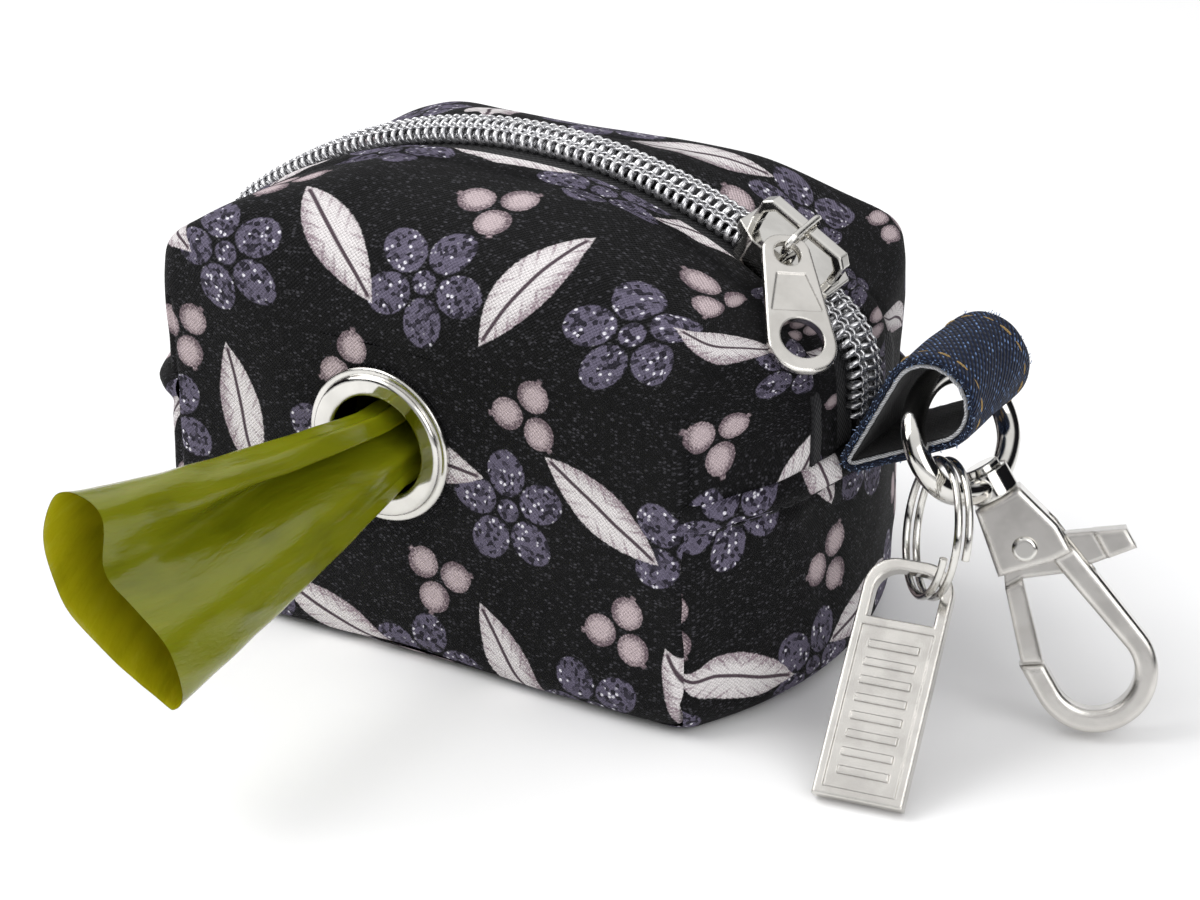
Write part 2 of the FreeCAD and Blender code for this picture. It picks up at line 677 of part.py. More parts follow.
slider_plan = loose_sketch("slider_plan", ON_FLOOR)
corner_x = half_slider * NOSE_SHARE
draw_polygon(slider_plan, "plan", [
    (half_slider, -half_nose * NOSE_SHARE), (half_slider, half_nose * NOSE_SHARE), (corner_x, half_nose),
    (-corner_x, half_tail), (-half_slider, half_tail * NOSE_SHARE), (-half_slider, -half_tail * NOSE_SHARE),
    (-corner_x, -half_tail), (corner_x, -half_nose)])
slider_prism = extrude("slider_prism", slider_plan, size("crown_radius") + size("pouch_height"))
slider_top = block("slider_above", (-half_slider, -half_nose, ZERO), (half_slider, half_nose, upper_high))
slider_blank = common("slider_blank", slider_prism, slider_top)
upper_skin = arc_shell("upper_skin", upper_low, upper_high)
flange_skin = arc_shell("flange_skin", flange_low, upper_low)
lower_skin = arc_shell("lower_skin", lower_low, lower_high)
blade_skin = arc_shell("blade_skin", lower_high, upper_low)
flange_inner = half_tail - size("flange_thickness")
channel = block("slider_channel", (-half_slider, -flange_inner, ZERO),
                (half_slider, flange_inner, upper_high))
blade_half = size("blade_thickness") / 2
blade_start = half_slider * NOSE_SHARE - size("blade_length")
blade_space = block("blade_space", (blade_start, -blade_half, ZERO),
                    (blade_start + size("blade_length"), blade_half, upper_high))
bar_low = upper_high + size("crown_window")
bar_high = bar_low + size("crown_bar_thickness")
half_bar = size("crown_bar_length") / 2
post = size("crown_bar_thickness")
root_low = upper_low + size("upper_plate") / 2
crown_side = loose_sketch("crown_side", ON_FRONT)
draw_polygon(crown_side, "side", [
    (-half_bar, root_low - post), (post - half_bar, root_low - post), (post - half_bar, bar_low - post),
    (post * 2 - half_bar, bar_low), (half_bar - post * 2, bar_low), (half_bar - post, bar_low - post),
    (half_bar - post, root_low - post), (half_bar, root_low - post), (half_bar, bar_high - post),
    (half_bar - post, bar_high), (post - half_bar, bar_high), (-half_bar, bar_high - post)])
crown_solid = extrude("crown_solid", crown_side, size("crown_bar_width") / 2)
crown_room = cylinder("crown_room", root_low, slider_reach * 2, ZERO, slider_reach, ZERO, ON_FRONT)
doc.recompute()
crown_trimmed = cut("crown_trimmed", crown_solid, crown_room)
slider_body = fuse(
    "slider_body",
    common("upper_plate_shape", upper_skin, slider_blank),
    cut("flange_shape", common("flange_blank", flange_skin, slider_blank), channel),
    common("lower_plate_shape", lower_skin, slider_blank),
    common("blade_shape", blade_skin, blade_space),
    crown_trimmed)
corner_radius = number("end_corner_radius")
corner_angle = math.asin((half_length.value - corner_radius) / (number("crown_radius") - corner_radius))
slider_angle = corner_angle - (half_slider + size("slider_end_room")).value / number("crown_radius")
slider_turn = Rotation(Vector(0, 1, 0), math.degrees(slider_angle))
crown_centre = Vector(0, 0, crown_z.value)
doc.recompute()
rim_radius = number("small_round")


def slider_edge_wanted(edge):
    """The upper rim of the upper plate and the long edges of the crown bar."""
    box = edge.BoundBox
    middle = box.Center
    far = math.hypot(middle.x, middle.z)
    on_top = far > upper_high.value - number("upper_plate") / 2
    along_bar = abs(box.YMax - box.YMin) < rim_radius
    beside_bar = abs(abs(middle.y) - number("crown_bar_width") / 2) < rim_radius
    return on_top and along_bar and beside_bar and middle.z > upper_high.value + rim_radius


slider_round = doc.addObject("Part::Fillet", "slider_round")
slider_round.Base = slider_body
slider_edges = enumerate(slider_body.Shape.Edges, start=1)
slider_round.Edges = [
    (index, rim_radius, rim_radius) for index, edge in slider_edges if slider_edge_wanted(edge)]
slider_round.Placement = Placement(crown_centre, slider_turn)
node(slider_round, "zip_slider")

# Link on the crown bar, and the pull tab that hangs from it
outward = slider_turn.multVec(Vector(0, 0, 1))
along = slider_turn.multVec(Vector(1, 0, 0))
forward = Vector(0, -1, 0)
bar_centre = crown_centre + outward * ((bar_low + bar_high) / 2).value
droop = math.radians(number("link_droop"))
link_axis = forward * math.cos(droop) - outward * math.sin(droop)
link_up = forward * math.sin(droop) + outward * math.cos(droop)
link_middle = bar_centre + link_axis * (number("link_reach") - number("link_length") / 2)

link_path = loose_sketch("link_path", ON_FLOOR)
link_end = size("link_height") / 2
link_far = size("link_length") / 2 - link_end
draw_hull(link_path, "path", -link_far, link_end, link_far, link_end)
link_section = doc.addObject("Part::Circle", "link_section")
bind(link_section, Radius=size("link_wire") / 2)
bind_base(link_section, ZERO, -link_end, ZERO, Rotation(Vector(0, 1, 0), 90))
doc.recompute()
link_sweep = doc.addObject("Part::Sweep", "link_sweep")
link_sweep.Sections = [link_section]
link_sweep.Spine = (link_path, [f"Edge{index}" for index in range(1, len(link_path.Shape.Edges) + 1)])
link_sweep.Solid = True
link_sweep.Frenet = False
link_sweep.Placement = Placement(link_middle, Rotation(link_axis, link_up, along, "ZXY"))
node(link_sweep, "pull_link")

tab_body = new_body("tab_body")
tab_half = size("tab_width") / 2
head_half = size("tab_head_width") / 2
eye_radius = size("tab_eye") / 2
tab_top = eye_radius + size("tab_eye_rim")
tab_foot = tab_top - size("tab_length")
foot_radius = size("tab_hole") / 2
hole_y = tab_foot + size("tab_hole_rim") + foot_radius
tab_outline = body_sketch(tab_body, "tab_outline")
draw_polygon(tab_outline, "tab", [
    (-head_half, tab_top), (-tab_half, hole_y), (-tab_half, tab_foot),
    (tab_half, tab_foot), (tab_half, hole_y), (head_half, tab_top)])
tab_pad = pad(tab_body, "tab_pad", tab_outline, size("tab_thickness"))
doc.recompute()
foot_level, head_level = tab_foot.value, tab_top.value


def upright_at(y, edge):
    """Whether an edge stands along the body's Z at a height of its Y."""
    box = edge.BoundBox
    slack = number("overrun") * SLACK_SHARE
    at_y = abs(box.YMin - y) < slack and abs(box.YMax - y) < slack
    return at_y and box.ZLength > slack and box.XLength < slack


tab_foot_round = round_edges(tab_body, "tab_foot_round", tab_pad, tab_half * FOOT_ROUND_SHARE,
                             lambda edge: upright_at(foot_level, edge))
tab_head_round = round_edges(tab_body, "tab_head_round", tab_foot_round, head_half * FOOT_ROUND_SHARE,
                             lambda edge: upright_at(head_level, edge))
round_edges(tab_body, "tab_rim", tab_head_round, size("small_round"),
            lambda edge: any(flat_at(face * number("tab_thickness") / 2, edge) for face in (1, -1)))
tab_holes = body_sketch(tab_body, "tab_holes")
draw_circle(tab_holes, "eye", ZERO, ZERO, eye_radius)
draw_circle(tab_holes, "hole", ZERO, hole_y, foot_radius)
pocket(tab_body, "tab_pierced", tab_holes, size("tab_thickness") * 2)
margin = size("tab_panel_margin")
tab_panel = body_sketch(tab_body, "tab_panel")
panel_top = -(eye_radius + margin)
panel_foot = hole_y + foot_radius + margin
draw_polygon(tab_panel, "panel", [
    (margin - head_half, panel_top), (margin - tab_half, panel_foot),
    (tab_half - margin, panel_foot), (head_half - margin, panel_top)])
pocket_from(tab_body, "tab_sunk", tab_panel, size("tab_thickness") / 2, size("tab_panel_depth"))

TAB_FACE_SHARES = Vector(0.519, -0.331, 0.788)
TAB_HANG_SHARES = Vector(0.506, -0.624, -0.595)
tab_down = Vector(TAB_HANG_SHARES).normalize()
tab_face = TAB_FACE_SHARES - tab_down * TAB_FACE_SHARES.dot(tab_down)
tab_face.normalize()
link_front = bar_centre + link_axis * number("link_reach")
eye_rest = (eye_radius.value - number("link_wire") / 2) * EYE_REST_SHARE
tab_body.Placement = Placement(link_front + tab_down * eye_rest,
                               Rotation(tab_down.cross(tab_face) * -1, tab_down * -1, tab_face, "ZYX"))
node(tab_body, "pull_tab")

# Eyelet in the front panel, and its washer behind the lining
barrel_in = size("eyelet_bore") / 2
flange_out = size("eyelet_flange") / 2
lip_in = flange_out - size("eyelet_lip_width")
stack = size("fabric_thickness") + size("lining_thickness")
washer_back = stack + size("washer_thickness")
curl_back = washer_back + size("curl_thickness")
curl_out = eyelet_barrel + size("curl_width")
eyelet_body = new_body("eyelet_body")
eyelet_profile = body_sketch(eyelet_body, "eyelet_profile", "XZ_Plane")
draw_polygon(eyelet_profile, "ring", [
    (barrel_in, -curl_back), (curl_out, -curl_back),
    (curl_out, -washer_back), (eyelet_barrel, -washer_back),
    (eyelet_barrel, ZERO), (flange_out, ZERO), (flange_out, size("eyelet_lip_rise")),
    (lip_in, size("eyelet_lip_rise")), (lip_in, size("eyelet_rise")), (barrel_in, size("eyelet_rise"))])
eyelet_turned = revolve(eyelet_body, "eyelet_turned", eyelet_profile)
rise, lip_rise = number("eyelet_rise"), number("eyelet_lip_rise")
eyelet_crest = round_edges(eyelet_body, "eyelet_crest", eyelet_turned, size("edge_round"),
                           lambda edge: flat_at(rise, edge) or flat_at(-curl_back.value, edge) and
                           edge.BoundBox.XMax < eyelet_barrel.value)
round_edges(eyelet_body, "eyelet_lip", eyelet_crest, size("small_round"),
            lambda edge: flat_at(lip_rise, edge) and edge.BoundBox.XMax > lip_in.value + rim_radius)
front_point = Vector(number("eyelet_x"), -half_depth.value, eyelet_z.value)
eyelet_body.Placement = Placement(front_point, ON_FRONT)
node(eyelet_body, "eyelet")

washer_body = new_body("washer_body")
washer_sketch = body_sketch(washer_body, "washer_sketch")
draw_circle(washer_sketch, "bore", ZERO, ZERO, eyelet_barrel)
draw_circle(washer_sketch, "rim", ZERO, ZERO, eyelet_barrel + size("washer_width"))
pad(washer_body, "washer_pad", washer_sketch, size("washer_thickness"))
washer_middle = stack + size("washer_thickness") / 2
washer_body.Placement = Placement(front_point + Vector(0, washer_middle.value, 0), ON_FRONT)
node(washer_body, "eyelet_washer")

# Denim loop sewn to the end seam: a denim layer and a lining layer, folded round to a drop-shaped tube
root_radius = size("loop_root_round")
tip_radius = size("loop_round")
loop_far = size("loop_length") - tip_radius
loop_start = half_length + size("seam_fold") + size("loop_seat")
loop_root = Vector(loop_start.value, 0, number("end_seam_height"))
loop_turn = Rotation(Vector(0, 1, 0), -number("loop_angle"))
loop_axis = loop_turn.multVec(Vector(1, 0, 0))


def loop_layer(label, skin, thickness):
    """One layer of the loop, lying skin deep under the loop's outer surface."""
    body = new_body(f"{label}_body")
    sketch = body_sketch(body, f"{label}_sketch", "XZ_Plane")
    draw_hull(sketch, "outside", root_radius, root_radius - skin, loop_far, tip_radius - skin)
    inner = skin + thickness
    draw_hull(sketch, "inside", root_radius, root_radius - inner, loop_far, tip_radius - inner)
    pad(body, f"{label}_pad", sketch, size("strap_width"))
    body.Placement = Placement(loop_root, loop_turn)
    return node(body, label)


loop_layer("loop_denim", ZERO, size("denim_thickness"))
loop_layer("loop_lining", size("denim_thickness"), size("strap_lining"))

# Swivel ring through the loop: an oval of round wire with a bored boss at its foot
tilt = math.radians(number("ring_tilt"))
clasp_up = Vector(-math.sin(tilt), 0, math.cos(tilt))
across = Vector(0, 1, 0)
ring_face = across.cross(clasp_up)
loop_middle = loop_root + loop_axis * loop_far.value
top_wire = loop_middle + Vector(-number("ring_back"), 0, -number("ring_sag"))
ring_height = size("ring_half_height") * 2
boss_centre = top_wire - clasp_up * ring_height.value
ring_turn = Rotation(across, clasp_up, ring_face, "ZXY")


def draw_oval(sketch, half_width, half_height, end_radius, middle_y):
    """An oval of four smoothly joined arcs: two tight ends and two flat sides, its middle at middle_y."""
    side = half_width.value - end_radius.value
    rise = half_height.value - end_radius.value
    flat = (side ** 2 + half_height.value ** 2 - end_radius.value ** 2) / (2 * rise)
    shift = flat - half_height.value
    lean = math.atan2(shift, side)
    up, half, mid = Vector(0, 0, 1), math.pi, middle_y.value

    def arc(x, y, radius, start, end):
        return sketch.addGeometry(Part.ArcOfCircle(Part.Circle(Vector(x, y, 0), up, radius), start, end))

    right = arc(side, mid, end_radius.value, -lean, lean)
    top = arc(0, mid - shift, flat, lean, half - lean)
    left = arc(-side, mid, end_radius.value, half - lean, half + lean)
    bottom = arc(0, mid + shift, flat, half + lean, 2 * half - lean)
    chain = [right, top, left, bottom]
    for index, piece in enumerate(chain):
        sketch.addConstraint(Sketcher.Constraint("Tangent", piece, 2, chain[(index + 1) % len(chain)], 1))
    pin_point(sketch, "right", right, 3, half_width - end_radius, middle_y)
    pin_point(sketch, "left", left, 3, end_radius - half_width, middle_y)
    pin_radius(sketch, "right_radius", right, end_radius)
    pin_radius(sketch, "left_radius", left, end_radius)
    sketch.addConstraint(Sketcher.Constraint("Equal", top, bottom))
    side_text, high_text = f"({(half_width - end_radius).text})", f"({half_height.text})"
    flat_text = (f"({side_text} ^ 2 + {high_text} ^ 2 - ({end_radius.text}) ^ 2)"
                 f" / (2 * ({(half_height - end_radius).text}))")
    pin_radius(sketch, "flat_radius", top, Term(flat, flat_text))


ring_path = loose_sketch("ring_path", ON_FLOOR)
ring_middle = size("ring_half_height")
draw_oval(ring_path, size("ring_half_width"), ring_middle, size("ring_end_radius"), ring_middle)
ring_section = doc.addObject("Part::Circle", "ring_section")
bind(ring_section, Radius=size("ring_wire") / 2)
bind_base(ring_section, size("ring_half_width"), size("ring_half_height"), ZERO, ON_FRONT)
doc.recompute()
ring_sweep = doc.addObject("Part::Sweep", "ring_sweep")
ring_sweep.Sections = [ring_section]
ring_sweep.Spine = (ring_path, [f"Edge{index}" for index in range(1, len(ring_path.Shape.Edges) + 1)])
ring_sweep.Solid = True
ring_sweep.Frenet = False
half_boss = size("boss_length") / 2
ALONG_CLASP = Rotation(Vector(1, 0, 0), -90)
boss = cylinder("boss", size("boss_diameter") / 2, size("boss_length"), ZERO, -half_boss, ZERO, ALONG_CLASP)
pin_radius_size = size("swivel_pin") / 2
bore_radius = pin_radius_size + size("swivel_fit")
bore_length = size("boss_length") * 2
boss_bore = cylinder("boss_bore", bore_radius, bore_length, ZERO, -size("boss_length"), ZERO, ALONG_CLASP)
doc.recompute()
ring_bored = cut("ring_bored", fuse("ring_blank", ring_sweep, boss), boss_bore)
doc.recompute()
ring_round = doc.addObject("Part::Fillet", "ring_round")
ring_round.Base = ring_bored
ring_round.Edges = [
    (index, rim_radius, rim_radius) for index, edge in enumerate(ring_bored.Shape.Edges, start=1)
    if edge.isClosed() and edge.BoundBox.YMax < 0
    and edge.BoundBox.XLength > number("swivel_pin") * 2 - rim_radius]
ring_round.Placement = Placement(boss_centre, ring_turn)
node(ring_round, "swivel_ring")

# Swivel pin: its head inside the ring, its shaft fixed in the clasp
clasp_turn = ring_turn.multiply(Rotation(Vector(0, 1, 0), -number("clasp_spin")))
clasp_place = Placement(boss_centre, clasp_turn)
head_low = half_boss + size("swivel_play")
head_high = head_low + size("pin_head_height")
head_radius = size("pin_head") / 2
clasp_top = half_boss + size("swivel_play")
pin_foot = clasp_top + size("pin_depth")
pin_body = new_body("pin_body")
pin_profile = body_sketch(pin_body, "pin_profile")
draw_polygon(pin_profile, "pin", [
    (ZERO, -pin_foot), (pin_radius_size, -pin_foot), (pin_radius_size, head_low), (head_radius, head_low),
    (head_radius, head_high), (ZERO, head_high)])
pin_turned = revolve(pin_body, "pin_turned", pin_profile)
doc.recompute()


def ring_edge_at(y, radius, edge):
    """Whether an edge is a circle of a radius about the body's Y axis at a height of Y."""
    box = edge.BoundBox
    slack = number("overrun") * SLACK_SHARE
    return abs(box.YMin - y) < slack and abs(box.YMax - y) < slack and abs(box.XMax - radius) < slack


round_edges(pin_body, "pin_round", pin_turned, size("small_round"),
            lambda edge: ring_edge_at(head_high.value, head_radius.value, edge))
pin_body.Placement = clasp_place
node(pin_body, "swivel_pin")

# Clasp: a slotted body and a hook in one casting. Its own X is towards the lever, Y up to the ring
clasp_body = new_body("clasp_body_solid")
head_side = size("clasp_head_width") / 2
top_y = -clasp_top
shoulder_y = top_y - size("clasp_shoulder")
foot_y = top_y - size("clasp_body_length")
lever_foot_y = foot_y - size("clasp_foot_rise")
hook_y = top_y - size("hook_drop")
hook_out = size("hook_round")
hook_in = hook_out - size("hook_bar")
nose_y = hook_y + size("nose_rise")
rivet_y = top_y - size("rivet_drop")
nose_tip_y = rivet_y - root(slant(hook_in, rivet_y - nose_y), hook_out)
shoulder_x = size("clasp_right_reach")
inner_x = shoulder_x - size("hook_bar")


def draw_hook(sketch):
    """Two concentric arcs, from the nose round to the straight limb that rises to the body's shoulder."""
    def touch(radius, x, y):
        """The point where a line from (x, y) touches the arc on its lever side."""
        rise_y = y - hook_y.value
        return math.atan2(rise_y, x) - math.acos(radius / math.hypot(x, rise_y))
    up = Vector(0, 0, 1)
    middle = Vector(0, hook_y.value, 0)
    outer, inner = hook_out.value, hook_in.value
    rise = (nose_y - hook_y).value
    outer_end = touch(outer, shoulder_x.value, shoulder_y.value)
    inner_end = touch(inner, inner_x.value, lever_foot_y.value)
    full = 2 * math.pi

    def spot(radius, angle):
        return middle + Vector(math.cos(angle), math.sin(angle), 0) * radius

    outer_circle = Part.Circle(middle, up, outer)
    outer_arc = sketch.addGeometry(Part.ArcOfCircle(outer_circle, math.pi, outer_end + full))
    shoulder = Vector(shoulder_x.value, shoulder_y.value, 0)
    inside = Vector(inner_x.value, lever_foot_y.value, 0)
    lift = Vector(0, rise, 0)
    tip = Vector(-outer, nose_tip_y.value, 0)
    limb = sketch.addGeometry(Part.LineSegment(spot(outer, outer_end), shoulder))
    cap = sketch.addGeometry(Part.LineSegment(shoulder, Vector(inner_x.value, shoulder_y.value, 0)))
    drop = sketch.addGeometry(Part.LineSegment(Vector(inner_x.value, shoulder_y.value, 0), inside))
    back = sketch.addGeometry(Part.LineSegment(inside, spot(inner, inner_end)))
    inner_circle = Part.Circle(middle, up, inner)
    inner_arc = sketch.addGeometry(Part.ArcOfCircle(inner_circle, math.pi, inner_end + full))
    inner_nose = sketch.addGeometry(Part.LineSegment(spot(inner, math.pi), spot(inner, math.pi) + lift))
    nose = sketch.addGeometry(Part.LineSegment(spot(inner, math.pi) + lift, tip))
    outer_nose = sketch.addGeometry(Part.LineSegment(tip, spot(outer, math.pi)))
    joints = [(outer_arc, 2, limb, 1), (back, 2, inner_arc, 2),
              (inner_arc, 1, inner_nose, 1), (outer_nose, 2, outer_arc, 1)]
    for piece, end, other, start in joints:
        sketch.addConstraint(Sketcher.Constraint("Tangent", piece, end, other, start))
    corners = [(limb, 2, cap, 1), (cap, 2, drop, 1), (drop, 2, back, 1),
               (inner_nose, 2, nose, 1), (nose, 2, outer_nose, 1)]
    for piece, end, other, start in corners:
        sketch.addConstraint(Sketcher.Constraint("Coincident", piece, end, other, start))
    sketch.addConstraint(Sketcher.Constraint("Vertical", inner_nose))
    sketch.addConstraint(Sketcher.Constraint("Vertical", outer_nose))
    pin_point(sketch, "outer", outer_arc, 3, ZERO, hook_y)
    pin_point(sketch, "inner", inner_arc, 3, ZERO, hook_y)
    pin_radius(sketch, "outer_radius", outer_arc, hook_out)
    pin_radius(sketch, "inner_radius", inner_arc, hook_in)
    pin_point(sketch, "shoulder", cap, 1, shoulder_x, shoulder_y)
    pin_point(sketch, "limb", drop, 1, inner_x, shoulder_y)
    pin_point(sketch, "inside", back, 1, inner_x, lever_foot_y)
    for name, end, height in (("nose", 1, nose_y), ("tip", 2, nose_tip_y)):
        index = sketch.addConstraint(Sketcher.Constraint("DistanceY", -1, 1, nose, end, height.value))
        sketch.renameConstraint(index, name)
        sketch.setExpression(f"Constraints.{name}", height.text)


hook_sketch = body_sketch(clasp_body, "hook_sketch")
draw_hook(hook_sketch)
hook_pad = pad(clasp_body, "hook_pad", hook_sketch, size("hook_thickness"))
half_hook = number("hook_thickness") / 2
round_edges(clasp_body, "hook_round_edges", hook_pad, size("edge_round"),
            lambda edge: flat_at(half_hook, edge) or flat_at(-half_hook, edge))
head_sketch = body_sketch(clasp_body, "head_sketch")
draw_polygon(head_sketch, "head", [
    (-head_side, top_y), (head_side, top_y), (shoulder_x, shoulder_y), (shoulder_x, lever_foot_y),
    (inner_x, lever_foot_y), (-size("clasp_left_reach"), foot_y)])
head_pad = pad(clasp_body, "head_pad", head_sketch, size("clasp_thickness"))
half_clasp = number("clasp_thickness") / 2
round_edges(clasp_body, "head_round", head_pad, size("edge_round"),
            lambda edge: flat_at(half_clasp, edge) or flat_at(-half_clasp, edge))
slot_sketch = body_sketch(clasp_body, "slot_sketch")
slot_top = top_y - size("slot_start")
slot_far = size("lever_reach")
slot_foot = lever_foot_y - size("lever_root_width")
draw_polygon(slot_sketch, "slot", [
    (-slot_far, slot_top), (slot_far, slot_top), (slot_far, slot_foot), (-slot_far, slot_foot)])
pocket(clasp_body, "slot_pocket", slot_sketch, size("slot_width"))
rivet_radius = size("rivet_diameter") / 2
rivet_hole = body_sketch(clasp_body, "rivet_hole")
draw_circle(rivet_hole, "rivet", ZERO, rivet_y, rivet_radius)
pocket(clasp_body, "rivet_pocket", rivet_hole, size("clasp_thickness") * 2)
pin_hole = body_sketch(clasp_body, "pin_hole", "XZ_Plane")
draw_circle(pin_hole, "pin", ZERO, ZERO, pin_radius_size)
pocket(clasp_body, "pin_pocket", pin_hole, pin_foot * 2)
clasp_body.Placement = clasp_place
node(clasp_body, "clasp_body")

# Trigger on its rivet: a hub in the slot, a gate that closes on the nose, a lever for the thumb
trigger_body = new_body("trigger_body")
trigger_thickness = size("slot_width") - size("trigger_play") * 2
hub = size("trigger_hub")
gate_foot = nose_y + size("gate_gap")
gate_right = -hook_in
gate_left = gate_right - size("gate_width")
gate_tip = rivet_y - root(slant(gate_right, rivet_y - gate_foot), gate_left)
gate_top = lever_foot_y - size("gate_gap")
gate_top_left = -size("clasp_left_reach")
gate_top_right = gate_top_left + size("gate_width")
tip_x = size("lever_reach")
tip_low = rivet_y - size("lever_tip_drop")
tip_high = tip_low + size("lever_tip_width")
lever_low = rivet_y - size("lever_root_width")
hub_low = lever_low - hub * HUB_SHARE
trigger_sketch = body_sketch(trigger_body, "trigger_sketch")
draw_polygon(trigger_sketch, "trigger", [
    (-hub, rivet_y), (ZERO, rivet_y + hub * HUB_SHARE), (hub, rivet_y), (tip_x, tip_high), (tip_x, tip_low),
    (hub, hub_low), (gate_top_right, gate_top), (gate_right, gate_foot), (gate_left, gate_tip),
    (gate_top_left, gate_top)])
pad(trigger_body, "trigger_pad", trigger_sketch, trigger_thickness)
thumb_x = size("pad_start")
along_share = (thumb_x.value - hub.value) / (tip_x.value - hub.value)
thick_sketch = body_sketch(trigger_body, "thick_sketch")
draw_polygon(thick_sketch, "gate", [
    (gate_top_right, gate_top), (gate_right, gate_foot), (gate_left, gate_tip), (gate_top_left, gate_top)])
draw_polygon(thick_sketch, "thumb", [
    (thumb_x, rivet_y + (tip_high - rivet_y) * along_share), (tip_x, tip_high), (tip_x, tip_low),
    (thumb_x, hub_low + (tip_low - hub_low) * along_share)])
thick_pad = pad(trigger_body, "thick_pad", thick_sketch, size("hook_thickness"))
round_edges(trigger_body, "trigger_round", thick_pad, size("small_round"),
            lambda edge: flat_at(half_hook, edge) or flat_at(-half_hook, edge))
hub_hole = body_sketch(trigger_body, "hub_hole")
draw_circle(hub_hole, "bore", ZERO, rivet_y, rivet_radius + size("rivet_fit"))
pocket(trigger_body, "hub_bore", hub_hole, size("slot_width"))
spring_far = rivet_radius + size("spring_room") * 2 + size("spring_wire")
spring_seat = body_sketch(trigger_body, "spring_seat")
draw_circle(spring_seat, "seat", ZERO, rivet_y, spring_far)
spring_floor = size("spring_pitch") * SPRING_TURNS + size("spring_wire") + size("spring_room")
pocket_from(trigger_body, "spring_well", spring_seat, trigger_thickness / 2, spring_floor)
trigger_body.Placement = clasp_place
node(trigger_body, "clasp_trigger")

rivet_body = new_body("rivet_body")
rivet_profile = body_sketch(rivet_body, "rivet_profile", "XZ_Plane")
half_body = size("clasp_thickness") / 2
head_end = half_body + size("rivet_head_height")
rivet_head_radius = size("rivet_head") / 2
draw_polygon(rivet_profile, "rivet", [
    (ZERO, -head_end), (rivet_head_radius, -head_end), (rivet_head_radius, -half_body),
    (rivet_radius, -half_body), (rivet_radius, half_body), (rivet_head_radius, half_body),
    (rivet_head_radius, head_end), (ZERO, head_end)])
rivet_turned = revolve(rivet_body, "rivet_turned", rivet_profile)
round_edges(rivet_body, "rivet_round", rivet_turned, size("rivet_head_height") * ROUND_HEAD_SHARE,
            lambda edge: flat_at(head_end.value, edge) or flat_at(-head_end.value, edge))
rivet_body.Placement = clasp_place.multiply(Placement(Vector(0, rivet_y.value, 0), Rotation()))
node(rivet_body, "trigger_rivet")


# Wound wire: quarter turns, each a pair of arcs that meet smoothly, swept as one tube

def biarc(start, start_way, end, end_way):
    """Two arcs from one point and direction to another, as edges."""
    span = end - start
    ways = start_way + end_way
    spread = 2 * (1 - start_way.dot(end_way))
    slope = span.dot(ways)
    if spread > 0:
        reach = (math.sqrt(slope ** 2 + spread * span.dot(span)) - slope) / spread
    else:
        reach = span.dot(span) / (2 * slope)
    first, second = start + start_way * reach, end - end_way * reach
    joint = (first + second) / 2
    edges = []
    for begin, bend, finish in ((start, first, joint), (joint, second, end)):
        middle = (begin + finish) / 2
        side = (finish - begin).Length / 2
        height = (bend - middle).Length
        sag = side * ((math.hypot(side, height) - side) / height)
        edges.append(Part.Arc(begin, middle + (bend - middle).normalize() * sag, finish).toShape())
    return edges


def winding(label, radius, wire, pitch, turns):
    """A helix of round wire about Z, centred on the origin; prints the least gap between its turns."""
    steps = int(turns * QUARTERS)
    rise = pitch / (2 * math.pi)

    def spot(index):
        angle = 2 * math.pi * index / QUARTERS
        return Vector(radius * math.cos(angle), radius * math.sin(angle), rise * angle - pitch * turns / 2)

    def way(index):
        angle = 2 * math.pi * index / QUARTERS
        return Vector(-radius * math.sin(angle), radius * math.cos(angle), rise).normalize()

    edges = []
    for index in range(steps):
        edges += biarc(spot(index), way(index), spot(index + 1), way(index + 1))
    path = Part.Wire(edges)
    section = Part.Wire([Part.Circle(spot(0), way(0), wire / 2).toShape()])
    tube = path.makePipeShell([section], True, False)
    points = path.discretize(steps * GAP_POINTS)
    apart = GAP_POINTS * QUARTERS // 2
    least = min((points[one] - points[two]).Length for one in range(len(points))
                for two in range(one + apart, len(points))) - wire
    print(f"{label}: least gap between turns {least:.2f} mm")
    return tube


spring = doc.addObject("Part::Feature", "spring")
spring_radius = number("rivet_diameter") / 2 + number("spring_room") + number("spring_wire") / 2
spring_wire, spring_pitch = number("spring_wire"), number("spring_pitch")
spring.Shape = winding("trigger_spring", spring_radius, spring_wire, spring_pitch, SPRING_TURNS)
spring_low = (trigger_thickness / 2 - spring_floor).value + number("spring_room")
spring_middle = spring_low + (number("spring_pitch") * SPRING_TURNS + number("spring_wire")) / 2
spring.Placement = clasp_place.multiply(Placement(Vector(0, rivet_y.value, spring_middle), Rotation()))
node(spring, "trigger_spring")

# Split ring, hung on the swivel ring beside its foot
seat = math.radians(number("split_seat"))
end_radius = number("ring_end_radius")
seat_point = (boss_centre - across * (number("ring_half_width") - end_radius + end_radius * math.cos(seat))
              + clasp_up * (number("ring_half_height") - end_radius * math.sin(seat)))
split_turn = math.radians(number("split_turn"))
split_lean = math.radians(number("split_lean"))
down = Vector(0, 0, -1)
split_side = Vector(math.cos(split_turn), -math.sin(split_turn), 0)
split_level = Vector(math.sin(split_turn), math.cos(split_turn), 0)
split_down = down * math.cos(split_lean) - split_level * math.sin(split_lean)
split_face = split_side.cross(split_down * -1)
half_strands = split_face * (number("split_pitch") * STRAND_SHARE)
split_centre = seat_point + split_down * number("split_hang") + half_strands
split = doc.addObject("Part::Feature", "split")
split_wire, split_pitch = number("split_wire"), number("split_pitch")
split.Shape = winding("split_ring", number("split_radius"), split_wire, split_pitch, SPLIT_TURNS)
split.Placement = Placement(split_centre, Rotation(split_side, split_down * -1, split_face, "ZXY"))
node(split, "split_ring")

